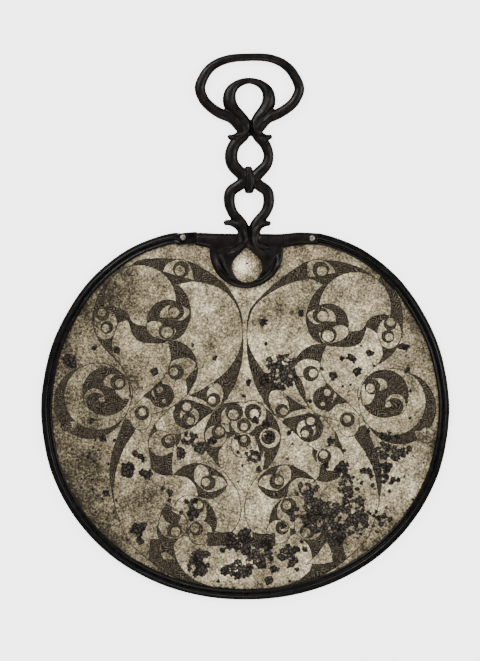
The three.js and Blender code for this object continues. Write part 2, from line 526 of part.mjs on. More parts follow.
// A half-moon plate with its edge bevelled.
function crescent(bottom, top, radius) {
  const [x, y] = CRESCENT_CENTRE;
  const moon = new THREE.Shape();
  moon.absarc(x, y, radius, Math.PI - CRESCENT_SWEEP, 2 * Math.PI + CRESCENT_SWEEP, false);
  moon.lineTo(x, CRESCENT_PEAK);
  const geometry = new THREE.ExtrudeGeometry(moon, {
    depth: top - bottom - 2 * CRESCENT_BEVEL,
    bevelThickness: CRESCENT_BEVEL,
    bevelSize: CRESCENT_BEVEL,
    bevelOffset: -CRESCENT_BEVEL,
    bevelSegments: 1,
    curveSegments: CURVE_STEPS,
  });
  return solid(geometry.translate(0, 0, bottom + CRESCENT_BEVEL));
}

function makeHandle() {
  const across = (name) => [...LEFT_BARS[name].toReversed(), ...RIGHT_BARS[name].slice(1)];
  const slot = prism(rimLine(EDGE_INSET - GAP), PLATE_BOTTOM - GAP, PLATE_TOP + GAP);
  const pastLeftEnd = acrossCrown(LEFT_BARS.arm.at(-1)[0] - 1, RIM_LEFT_END + GAP, BELOW, ABOVE);
  const pastRightEnd = acrossCrown(RIM_RIGHT_END - GAP, RIGHT_BARS.arm.at(-1)[0] + 1, BELOW, ABOVE);
  const casting = join([
    bar(across('loop'), 2),
    bar(across('upperRing'), 1),
    bar(LEFT_BARS.middleRing, 1),
    bar(RIGHT_BARS.middleRing, 1),
    bar(LEFT_BARS.lowerFin, 1),
    bar(RIGHT_BARS.lowerFin, 1),
    bar(across('arm'), 1, ARM_HEIGHT),
    bar(COLLAR, 1).translate([0, 0, COLLAR_RISE]),
    crescent(PLATE_TOP + GAP, CRESCENT_TOP, CRESCENT_RADIUS),
    crescent(CRESCENT_FOOT, PLATE_BOTTOM - GAP, CRESCENT_BACK_RADIUS),
  ]);
  const window = prism(tear(), BELOW, ABOVE);
  const cuts = [slot, window, pastLeftEnd, pastRightEnd, ...rivetHoles()];
  return cuts.reduce((body, cut) => body.subtract(cut), casting);
}

// ---- rivets ----------------------------------------------------------------------------------------

// A domed head on a plain shank, its axis upright at [x, y], the head's underside at `seat`.
function makeRivet([x, y], seat) {
  const dome = Array.from({ length: RIVET_DOME_STEPS }, (unused, step) => {
    const angle = (step / RIVET_DOME_STEPS) * (Math.PI / 2);
    return new THREE.Vector2(RIVET_HEAD * Math.cos(angle), seat + RIVET_HEAD_RISE * Math.sin(angle));
  });
  const profile = [
    new THREE.Vector2(0, RIVET_FOOT),
    new THREE.Vector2(RIVET_SHANK, RIVET_FOOT),
    new THREE.Vector2(RIVET_SHANK, seat),
    ...dome,
    new THREE.Vector2(0, seat + RIVET_HEAD_RISE),
  ];
  return solid(new THREE.LatheGeometry(profile, PIN_SIDES).rotateX(Math.PI / 2).translate(x, y, 0));
}

// ---- the whole mirror ------------------------------------------------------------------------------

const agedSheet = new THREE.MeshStandardMaterial({ color: 0xa99f86, roughness: 0.5, metalness: 0.7 });
const darkBronze = new THREE.MeshStandardMaterial({ color: 0x1c1916, roughness: 0.35, metalness: 0.8 });
const rimBronze = new THREE.MeshStandardMaterial({ color: 0x181714, roughness: 0.4, metalness: 0.8 });
const rivetBronze = new THREE.MeshStandardMaterial({ color: 0x8d8673, roughness: 0.45, metalness: 0.7 });

const ARM_TOP = (ROD_HEIGHT + ARM_HEIGHT) / 2;
const mirror = new THREE.Group();
mirror.add(
  piece('mirror_plate', makePlate(), agedSheet),
  piece('rim_binding', makeRim(), rimBronze),
  piece('handle', makeHandle(), darkBronze),
  piece('rivet_left', makeRivet(RIVET_LEFT, RIM_PAD_TOP + GAP), rivetBronze),
  piece('rivet_right', makeRivet(RIVET_RIGHT, ARM_TOP + GAP), rivetBronze),
);

// The origin goes to the bottom centre of the mirror's own box.
const extent = new THREE.Box3().setFromObject(mirror);
const middle = extent.getCenter(new THREE.Vector3());
mirror.position.set(-middle.x, -middle.y, -extent.min.z);

export default mirror;
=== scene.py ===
"""Looks for a bronze hand mirror with an engraved back and a looped handle, lying on its polished face."""
import math

import bmesh
import bpy
import numpy as np
from mathutils import Matrix, Vector, geometry, kdtree, noise


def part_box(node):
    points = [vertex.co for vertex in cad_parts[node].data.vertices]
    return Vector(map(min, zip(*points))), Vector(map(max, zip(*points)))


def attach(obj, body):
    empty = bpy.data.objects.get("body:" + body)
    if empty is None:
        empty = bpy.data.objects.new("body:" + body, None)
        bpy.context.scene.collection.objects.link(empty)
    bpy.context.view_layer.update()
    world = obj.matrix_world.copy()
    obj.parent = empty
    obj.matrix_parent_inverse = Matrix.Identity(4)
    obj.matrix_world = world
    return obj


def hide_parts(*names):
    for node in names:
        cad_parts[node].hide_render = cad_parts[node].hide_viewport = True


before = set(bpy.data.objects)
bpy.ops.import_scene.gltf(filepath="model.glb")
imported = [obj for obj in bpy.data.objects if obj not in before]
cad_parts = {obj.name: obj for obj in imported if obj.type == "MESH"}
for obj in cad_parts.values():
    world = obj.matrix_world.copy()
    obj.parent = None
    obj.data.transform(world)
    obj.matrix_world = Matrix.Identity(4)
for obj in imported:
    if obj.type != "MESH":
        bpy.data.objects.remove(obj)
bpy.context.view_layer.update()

# ---- the engraved plate ----------------------------------------------------------------------------
# A hammered sheet of bronze, scribed with compasses and engraved by hand. The fields between the lines
# are filled with small squares of hatching, each turned across its neighbours like basketwork. Its skin
# is pale where it was polished and carries dark lumps of corrosion that grew on it in the ground.

MM = 0.001
plate_low, plate_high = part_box("mirror_plate")
rim_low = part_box("rim_binding")[0]
FOOT_TO_MIDDLE = 114.4           # the plate's middle, where x and y are 0, above the foot of the rim
MIDDLE = Vector((0, rim_low.y + FOOT_TO_MIDDLE * MM, 0))
PLATE_TOP = plate_high.z / MM    # heights are in millimetres above the ground
PLATE_BOTTOM = plate_low.z / MM
EDGE_INSET = 3.7                 # outer face of the rim to the edge of the sheet
RIM_WIDTH = 7.0                  # outer face of the rim to its inner lip
GROOVE_DEPTH = 0.22              # of an engraved line
GROOVE_HALF = 0.36               # half the width of an engraved line
HATCH_DEPTH = 0.2                # how far the hatched fields lie below the plain ones
CRUST_RISE = 0.55                # how far the corrosion stands up
KNOB_SIZE = 1.3                  # of the knobs on a crust
GRIT_SIZE = 0.9                  # of the grit in a hatched field or a grey patch, and how high it stands
HATCH_GRIT = 0.1
GREY_GRIT = 0.12
DOME_RISE = 0.7                  # the sheet bulges a little in the crescent's window
DOME_REACH = 1.25                # the bulge's radius over the window's
WINDOW = (1.2, 97.1, 9.5)        # centre and radius of that window
BORDER_STEP = 2.0                # spacing of points along the sheet's edge
BORDER_MARGIN = 0.8              # no other point lies nearer to the edge
LINE_STEP = 0.8                  # spacing of points along an engraved line
HATCH_STEP = 1.0                 # spacing of points in a hatched field
CRUST_STEP = 0.9                 # spacing of points on corrosion
OPEN_STEP = 3.5                  # spacing of points on bare metal
SPREAD_X = (-130, 130)           # the stretch over which points are strewn
SPREAD_Y = (-115, 121)
JITTER = 0.3                     # how far each point strays, as a share of the spacing
CELL = 0.26                      # of the points in one small square of this size, only one is kept
CROWN_DIP = 0.8                  # how much lower the outline lies on the axis than beside it

# Right half of the rim's outer edge, from the foot of the mirror to the middle of the handle's arms.
HALF_OUTLINE = [
    [0, -114.4], [30, -111.6], [59.1, -102.3], [86, -86], [108.2, -62.4], [123.5, -33], [129.8, 0],
    [128, 28], [119.8, 56], [101.9, 85.5], [79, 106], [56, 116.7], [34, 120.6], [16, 119.6],
]


def smooth(points, spacing):
    """A smooth curve through points of any number of coordinates, with a point about every `spacing`."""
    points = np.array(points, float)
    row = np.vstack([points[:1], points, points[-1:]])
    curve = []
    for before, start, end, after in zip(row, row[1:], row[2:], row[3:]):
        steps = max(1, math.ceil(np.hypot(*(end - start)[:2]) / spacing))
        t = np.linspace(0, 1, steps, endpoint=False)[:, None]
        curve.append(0.5 * (2 * start + (end - before) * t
                            + (2 * before - 5 * start + 4 * end - after) * t ** 2
                            + (3 * start - before - 3 * end + after) * t ** 3))
    return np.vstack([*curve, points[-1:]])


def across(line, closed):
    """The unit vectors to the left of a line of points, one for each."""
    if closed:
        ahead, behind = np.roll(line, -1, 0), np.roll(line, 1, 0)
    else:
        ahead = np.vstack([line[1:], line[-1:]])
        behind = np.vstack([line[:1], line[:-1]])
    run = (ahead - behind)[:, :2]
    run /= np.maximum(np.hypot(*run.T), 1e-9)[:, None]
    return np.column_stack([-run[:, 1], run[:, 0]])


def rim_line(inset, spacing=1.5):
    """The mirror's closed outer edge, counter-clockwise from the foot, drawn in by `inset`."""
    (x0, y0), foot = HALF_OUTLINE[1], HALF_OUTLINE[0]
    half = smooth([[-x0, y0], *HALF_OUTLINE], spacing)
    half = half[half[:, 0] > 0.5 * spacing]
    dip = [0, HALF_OUTLINE[-1][1] - CROWN_DIP]
    edge = np.vstack([[foot], half, [dip], half[::-1] * [-1, 1]])
    return edge + inset * across(edge, closed=True)


# A field is either hatched or plain. The fields are laid one over another in the order they are listed,
# as cut paper would be. Each outline is a row of smooth strokes that meet in corners: every stroke starts
# where the one before it ended.
def hatched(*strokes):
    return {"hatched": True, "strokes": strokes}


def plain(*strokes):
    return {"hatched": False, "strokes": strokes}


def hatched_disc(x, y, radius, along=None):
    return {"hatched": True, "disc": (x, y, radius, along or radius)}


def plain_disc(x, y, radius, along=None):
    return {"hatched": False, "disc": (x, y, radius, along or radius)}


def eyelet(ring, pupil):
    return [hatched_disc(*ring), plain_disc(*pupil)]


LEFT_HALF = [
    # band over the whole crown, down beside the axis to a fin
    hatched(
      [[-73, 98], [-68, 101.4], [-60, 102.6], [-50, 102.7], [-37, 101], [-28, 97], [-18, 90.5], [-11, 84],
        [-5, 74], [-2.3, 66], [-1.8, 55], [-1.4, 47], [-2.5, 36], [-6, 24], [-10.5, 16], [-16, 10]],
      [[-25, 40]], [[-45, 60]], [[-60, 70]], [[-73, 98]]),
    # horn round the outside of the great disc
    hatched([[-83, 92], [-88.5, 86.5], [-94, 78], [-97, 66], [-96, 58], [-92, 49], [-86, 42], [-81, 38]],
      [[-75, 50]], [[-68, 72]], [[-83, 92]]),
    # great disc
    plain_disc(-67, 75.7, 23),
    # half lens at the top
    plain([[-52.5, 94.5], [-49.6, 99.5], [-42.5, 102.3], [-35.4, 99.5], [-32.4, 88.8]], [[-52.5, 94.5]]),
    *eyelet([-40.8, 96, 5], [-41.5, 95.2, 3.4]),
    # second great lobe, running down to a point
    plain(
      [[-44.5, 86], [-38, 87.6], [-31.5, 88.2], [-16.6, 84.3], [-5.7, 73.4], [-1.9, 58.5], [-2.3, 49],
        [-5, 41], [-11, 32], [-19, 25], [-29, 18.5], [-37, 16]],
      [[-33, 22.5], [-30.3, 31], [-31.5, 39.5], [-36, 46], [-45, 50.3], [-50.5, 51]],
      [[-41.5, 56], [-36, 62], [-34.7, 68], [-36.5, 77.5], [-41, 84.3], [-44.5, 86]]),
    # fin over the foot of the great disc, and the twin-eyed oval beside it
    hatched([[-89, 71.8], [-85.5, 72.3], [-79, 70.7], [-75.7, 68.3], [-73.5, 65]], [[-72, 58]],
      [[-85, 56]], [[-89, 71.8]]),
    plain_disc(-89, 61, 7.7, 9.8),
    *eyelet([-90.7, 67.3, 4], [-91.2, 68.3, 2.9]),
    *eyelet([-88, 58.9, 3.9], [-88.8, 58.5, 2.7]),
    # swoosh under the great disc, and the long tear below it
    hatched([[-73.7, 65], [-71, 61.6], [-64, 59.4]], [[-58, 62]], [[-48, 58]], [[-49, 50.6]], [[-60, 45]],
      [[-75, 52]], [[-76, 62]], [[-73.7, 65]]),
    plain([[-81, 61.5], [-84.8, 50], [-84, 42], [-77.5, 32], [-72.5, 22], [-72, 14], [-76.5, 2]],
      [[-69, 10.5], [-61, 18], [-53, 26], [-48.5, 34], [-47, 42], [-48.5, 49]],
      [[-55, 49], [-65, 49.5], [-71, 54], [-74.5, 64]], [[-77.5, 63.2], [-81, 61.5]]),
    # roundel between the two great lobes, with two comma lobes
    hatched_disc(-49.3, 63.4, 13),
    plain(
      [[-54.5, 65], [-54, 69], [-50, 72.8], [-44, 74], [-37, 71.3], [-35.2, 68.5], [-38.5, 64.3],
        [-42, 63]], [[-48, 65]], [[-54.5, 65]]),
    *eyelet([-44, 69, 4.9], [-45.3, 68.5, 3.5]),
    plain([[-63, 60.5], [-62.2, 56.5], [-58, 52.8], [-51, 51.2], [-46, 52.5], [-43.5, 58]],
      [[-50, 60], [-55, 62.8], [-60, 63], [-63, 60.5]]),
    *eyelet([-50, 56.5, 5], [-49.8, 55.9, 3.8]),
    # side circle, its crescent, its leaf, and the hatched roundel inside it
    hatched_disc(-98.6, 11.2, 23),
    plain_disc(-94, 15, 21.3),
    plain([[-120, -8.5], [-115, -2], [-107, -1], [-110, -7], [-120, -8.5]]),
    hatched_disc(-114, -3.8, 3.4),
    hatched_disc(-88.3, 18.2, 15.2),
    plain([[-90.5, 22], [-90, 26], [-87, 28.8], [-83, 29.5], [-79, 28.8], [-74.5, 25]],
      [[-73.5, 14.5], [-76, 13.5], [-79, 14], [-82, 16.5], [-83, 19.5]], [[-90.5, 22]]),
    *eyelet([-81, 24, 4.8], [-80, 23.5, 3]),
    plain_disc(-96, 13.4, 6.9),
    *eyelet([-95.3, 11.8, 5.6], [-91.3, 12.9, 2.1]),
    # fin and lens beside the long tear
    hatched([[-49, 50], [-45, 50.3], [-40, 49], [-35, 45], [-32, 40], [-30.6, 34]], [[-37, 29]],
      [[-47, 36.5]], [[-47.3, 42], [-49, 50]]),
    plain([[-47.3, 36.5], [-45, 38.5], [-40, 40], [-35, 39.3], [-31, 36]], [[-33.5, 30.5], [-38, 29.2]],
      [[-47, 28], [-49, 31], [-47.3, 36.5]]),
    *eyelet([-44, 30.5, 4.8], [-45.5, 30.8, 2.9]),
    hatched([[-30.3, 33], [-31, 27], [-33, 22.5], [-37, 16]],
      [[-36.8, 20], [-37.5, 25], [-36, 28], [-33, 31], [-30.3, 33]]),
    # small fin and roundel in the waist
    hatched([[-65, 15], [-60, 13], [-56, 9], [-53, 8]], [[-53, 24], [-57, 21.5], [-65, 15]]),
    hatched_disc(-53, 15.5, 7.5),
    plain([[-60, 17], [-58.5, 20], [-57, 13]], [[-60, 17]]),
    *eyelet([-54.5, 19.3, 4], [-54.5, 19.3, 2.4]),
    *eyelet([-51.5, 12, 3], [-51.5, 12, 1.6]),
    # long tapering band down the outside, and the oval at its head
    hatched([[-76.5, 1], [-80.5, -9], [-84.5, -21], [-86.3, -33], [-85.2, -44], [-83.3, -54]],
      [[-84.2, -46], [-83.7, -40], [-81.5, -29], [-77, -17.5], [-71, -8], [-68, -2]], [[-76.5, 1]]),
    plain_disc(-66.5, 1.5, 6.8, 7.9),
    *eyelet([-65.7, 4.5, 4.5], [-65.5, 5, 2.7]),
    # twin-eyed roundel beside the centre, the fins round it, and the egg
    hatched([[-45, 9], [-38, 13], [-30, 11], [-22, 7.5], [-20.5, 5]], [[-25, 2.5], [-33, -4], [-38, -6]],
      [[-45, 9]]),
    hatched_disc(-37, 3.5, 8.7),
    plain_disc(-35.5, 2.5, 6.2),
    *eyelet([-37.2, 8.5, 3.9], [-37.2, 8.5, 2.8]),
    *eyelet([-36, 0.3, 4.2], [-35, -0.5, 2.5]),
    hatched([[-35, 15.6], [-29, 18.5], [-24, 21.4]], [[-19, 19]], [[-20, 8.5], [-26, 12.5], [-35, 15.6]]),
    hatched([[-18.5, 24]], [[-11, 14]], [[-16, 9]], [[-20, 9]], [[-24, 14], [-18.5, 24]]),
    plain(
      [[-18.5, 24], [-15, 21.5], [-13.7, 16], [-15.5, 10.5], [-19, 8.4], [-23, 10], [-24.6, 15],
        [-23.5, 19.5], [-18.5, 24]]),
    *eyelet([-20, 13, 4.1], [-21, 12.5, 2.7]),
    # strip, circle and fins over the eye
    hatched([[-57.5, -2], [-60, -8], [-61.7, -14], [-61, -20]],
      [[-60, -28], [-59.6, -31], [-53, -34.8], [-46.3, -35]], [[-46.8, -28], [-46, -20.5]], [[-50, -22]],
      [[-60.5, -19]], [[-58, -12]], [[-54, -12], [-55.5, -9], [-57.5, -2]]),
    plain_disc(-53.5, -15, 8.2),
    *eyelet([-49, -13.5, 4.3], [-48.5, -12.5, 2.8]),
    hatched([[-44.5, -10], [-41, -9]], [[-41.5, -13], [-44, -17]], [[-44.5, -10]]),
    # eye with its two-lobed pupil
    hatched(
      [[-46, -35], [-42, -31.5], [-38, -29], [-30, -27.5], [-21, -30.5], [-14, -35.5], [-11.5, -40.5],
        [-14, -45.5], [-21, -50], [-30, -48.5]],
      [[-30.3, -46], [-31.5, -42], [-34, -38.8], [-38, -36], [-46, -35]]),
    plain(
      [[-32.8, -35], [-32, -39], [-26, -45], [-21, -45.8], [-13, -42.5], [-11.8, -40.3], [-14.5, -36.7],
        [-19, -35.2], [-22, -36.2]],
      [[-22.8, -34.5], [-24, -31], [-26.5, -28.8], [-29.5, -28.3], [-32.3, -31.5], [-32.8, -35]]),
    *eyelet([-23.7, -40, 4.6], [-25, -39.5, 2.9]),
    # trefoil of three circles
    hatched([[-50, -53.5], [-53, -58], [-55.5, -66], [-56, -72], [-54, -77]], [[-38, -72]], [[-27, -78]],
      [[-21, -78]], [[-18.8, -69], [-18.2, -65], [-20.5, -57], [-26, -50.7]], [[-35, -62]], [[-50, -53.5]]),
    plain_disc(-35.1, -58.5, 10.8),
    *eyelet([-31, -54.5, 5], [-30, -54, 3]),
    plain_disc(-46.1, -66.5, 9.3),
    hatched([[-53.5, -58.5], [-48, -57]], [[-41, -61.5]],
      [[-43, -66], [-46, -66], [-50, -64.5], [-53.5, -58.5]]),
    *eyelet([-45, -70.2, 4.5], [-44.3, -71, 3.2]),
    plain_disc(-28.5, -71.7, 7.7),
    *eyelet([-31, -69.3, 4.1], [-32, -68.8, 3]),
    # foot band with its small leaf, and the block beside the axis
    hatched([[-61.5, -89], [-55, -94], [-45, -100], [-35, -103.5], [-27, -105.3], [-20, -106.5]],
      [[-30, -103], [-38.5, -97], [-43, -90], [-45.7, -81], [-43, -75.7]], [[-52, -75.6], [-60, -76]],
      [[-61.5, -89]]),
    plain([[-54, -85], [-50, -84], [-44.5, -88.7]], [[-52, -89]], [[-54, -85]]),
    hatched([[-8, -71], [-16, -71.8], [-24, -71.5]], [[-24, -80]], [[-8, -80]], [[-8, -71]]),
]

# Only on the right half: the foot band there holds a larger plain leaf.
RIGHT_ONLY = [
    plain([[51.8, -76.8], [54.8, -83], [55.9, -90.3]], [[48, -91.8], [39.4, -91.2]],
    [[45.5, -85.5], [51.8, -76.8]]),
    plain_disc(115.4, -9.6, 4.9),
]

RIGHT_LINES = [                  # and the roundel by the rim is parted by three spokes
    [[115.4, -9.6], [115.6, -5]], [[115.4, -9.6], [112, -12.6]], [[115.4, -9.6], [119, -12.2]],
]

# The roundel on the axis, which joins the two halves.
CENTRE_ROUNDEL = [
    hatched([[-5, 11.3], [-12, 10.5], [-17, 7.5], [-21, 4], [-25.3, -5], [-26, -11], [-24.5, -20]],
      [[-20, -25.5], [-16.5, -30]], [[-17.5, -24], [-17, -20]], [[-12, -12]], [[-6, -8.6]], [[0, -9]],
      [[6, -10]], [[9, -20], [7, -22.5]], [[10, -24]], [[12, -20]], [[12.5, -26], [11.5, -31], [14, -31]],
      [[18.5, -24.5], [21.5, -17], [22.5, -10], [20, -1], [14, 6.5], [8, 10.3], [0, 11.6], [-5, 11.3]]),
    plain([[-5, 11], [-13, 7.5], [-15.7, 2], [-14.5, -5.5], [-10, -8]], [[-9.5, -1], [-5, -4]], [[0, 0]],
      [[0, 11.5]], [[-5, 11]]),
    plain_disc(5, 4, 8.5),
    plain_disc(-1, -0.5, 8.6),
    *eyelet([-7, 5, 5.5], [-7.5, 3.5, 3.4]),
    *eyelet([5, 5, 5.3], [5.7, 3.8, 3.2]),
    *eyelet([-0.7, -3.2, 4.3], [-0.7, -4.2, 2.6]),
    plain_disc(-18.7, -10.3, 7),
    *eyelet([-17, -7.7, 4.3], [-16.3, -7.2, 3]),
    plain_disc(15.6, -11.3, 6.6),
    *eyelet([14.8, -11, 4.4], [12.3, -9.5, 1.6]),
    plain_disc(-1, -16, 8),
    *eyelet([-0.6, -13.2, 4], [-0.9, -12.3, 2.3]),
]

# Single engraved lines on the left half, besides the outlines of the fields.
LINES = [
    [[-37, 16], [-42, 12], [-50, 6.5], [-60, 3.5], [-66, 0.5]],
    [[-40, 13], [-45, 9.5], [-50, 5.5], [-56, -1], [-61, -10]],
    [[-83.3, -54], [-80.5, -63], [-75, -76], [-68, -83.5], [-61.5, -89]],
    [[-52, -10.5], [-48, -9.2], [-40, -8.5], [-35, -5.5], [-25, 2.5], [-15, 9.5], [-5, 11.5],
     [0, 11.3]],
    [[-16.5, -29], [-10, -37.5], [-5, -45], [-2.7, -55], [-3.5, -63], [-8, -70.5], [-12, -72.3],
     [-20, -70.5]],
    [[-35, 15.5], [-30, 15], [-22, 9.4], [-20, 8.4]],
]

# The right half was engraved by hand after the left, so it mirrors it only roughly. Each pair gives a
# mark on the left half and where its twin lies on the right.
TWINS = np.array([
    [[-40.8, 96], [48.5, 95.6]], [[-52.5, 94.5], [57.7, 93.6]], [[-32.4, 88.8], [40, 90.5]],
    [[-67, 75.7], [70, 71.3]], [[-44, 69], [48, 66.6]], [[-50, 56.5], [53, 54.1]],
    [[-90.7, 67.3], [91.8, 61.2]], [[-88, 58.9], [90.9, 53.2]], [[-94, 15], [93.6, 11.3]],
    [[-73, 18], [71.5, 14]], [[-88.3, 18.2], [88.7, 17]], [[-114, -3.8], [115, -10]],
    [[-45.5, 30.8], [43.1, 29.9]], [[-47, 40], [48.7, 39]], [[-53, 15.5], [50.7, 13.9]],
    [[-20, 13], [23.5, 5.9]], [[-65.7, 4.5], [65, 0.2]], [[-37.2, 8.5], [41.8, -0.7]],
    [[-35, -0.5], [38.2, -8.7]], [[-48.5, -12.5], [49.8, -22.1]], [[-24, -40], [20.4, -39.1]],
    [[-30, -54], [26.6, -54.2]], [[-32, -68.8], [24.4, -68.1]], [[-44.3, -71], [38.7, -71.7]],
    [[-1.8, 57], [1.2, 57]], [[-3, 36], [3, 36]], [[-18.2, -65], [15.2, -66]],
    [[-2.7, -58], [-0.4, -58]], [[-68, 101.4], [74, 96.2]], [[-60, 102.6], [65.5, 99.5]],
    [[-37, 101], [40.5, 101.2]], [[-88.5, 86.5], [92, 87]], [[-95.5, 74], [100.8, 70]],
    [[-97, 62], [100.5, 56]], [[-72, 14], [74, 10]], [[-10, 16], [10.5, 14]],
    [[-86, -38], [86.5, -42]], [[-83.3, -54], [84.5, -56]], [[-75, -76], [78, -75]],
    [[-60, -90], [63, -89.5]], [[-35, -103.5], [37, -103.5]],
])
TWIN_BLEND = 20                  # square millimetres; how softly one pair's shift passes into the next


def twin_of(points):
    """The places on the right half that answer to places on the left."""
    points = np.atleast_2d(np.array(points, float))
    off = points[:, None] - TWINS[:, 0]
    weight = 1 / ((off ** 2).sum(2) + TWIN_BLEND) ** 2
    weight /= weight.sum(1)[:, None]
    shift = weight @ (TWINS[:, 1] - TWINS[:, 0] * [-1, 1])
    return points * [-1, 1] + shift


def twin_field(field):
    """The same field on the right half. Discs stay round, as the compass drew them."""
    if "disc" in field:
        (x, y), size = twin_of(field["disc"][:2])[0], field["disc"][2:]
        return {**field, "disc": (x, y, *size)}
    return {**field, "strokes": [twin_of(stroke).tolist() for stroke in field["strokes"]]}


def outline_of(field, spacing):
    """The closed outline of a field as an array of points."""
    if "disc" in field:
        x, y, radius, along = field["disc"]
        angles = np.linspace(0, 2 * math.pi, math.ceil(2 * math.pi * radius / spacing), endpoint=False)
        return np.column_stack([x + radius * np.cos(angles), y + along * np.sin(angles)])
    outline, corner = [], []
    for stroke in field["strokes"]:
        points = [*corner, *stroke]
        if len(points) > 1:
            outline.append(smooth(points, spacing)[:-1])
        corner = [stroke[-1]]
    return np.vstack(outline)


def inside(points, outline):
    """Which of the points lie inside a closed outline."""
    near = np.all((points > outline.min(0)) & (points < outline.max(0)), axis=1)
    found = np.zeros(len(points), bool)
    if near.any():
        x, y = points[near].T[:, :, None]
        (x0, y0), (x1, y1) = outline.T, np.roll(outline, -1, 0).T
        crosses = (y0 > y) != (y1 > y)
        rise = np.where(y1 == y0, 1, y1 - y0)
        found[near] = (crosses & (x < x0 + (y - y0) * (x1 - x0) / rise)).sum(1) % 2 == 1
    return found


fields = [*LEFT_HALF, *map(twin_field, LEFT_HALF), *RIGHT_ONLY, *CENTRE_ROUNDEL]
outlines = [outline_of(field, LINE_STEP) for field in fields]


def hatched_at(points):
    """Which of the points lie in a hatched field."""
    state = np.zeros(len(points), bool)
    for field, outline in zip(fields, outlines):
        state[inside(points, outline)] = field["hatched"]
    return state


ASIDE = 0.6                      # how far to either side of a line its two fields are told apart


def engraved_lines():
    """Every stretch of engraved line that shows: points, and the direction across the line at each."""
    points, sideways = [], []
    for place, (field, outline) in enumerate(zip(fields, outlines)):
        shows = np.ones(len(outline), bool)
        for later in outlines[place + 1:]:
            shows &= ~inside(outline, later)
        left = across(outline, closed=True)
        if "strokes" in field:
            shows &= ~(hatched_at(outline + ASIDE * left) & hatched_at(outline - ASIDE * left))
        points.append(outline[shows])
        sideways.append(left[shows])
    for stroke in [*LINES, *map(twin_of, LINES), *RIGHT_LINES]:
        run = smooth(stroke, LINE_STEP)
        points.append(run)
        sideways.append(across(run, closed=False))
    return np.vstack(points), np.vstack(sideways)


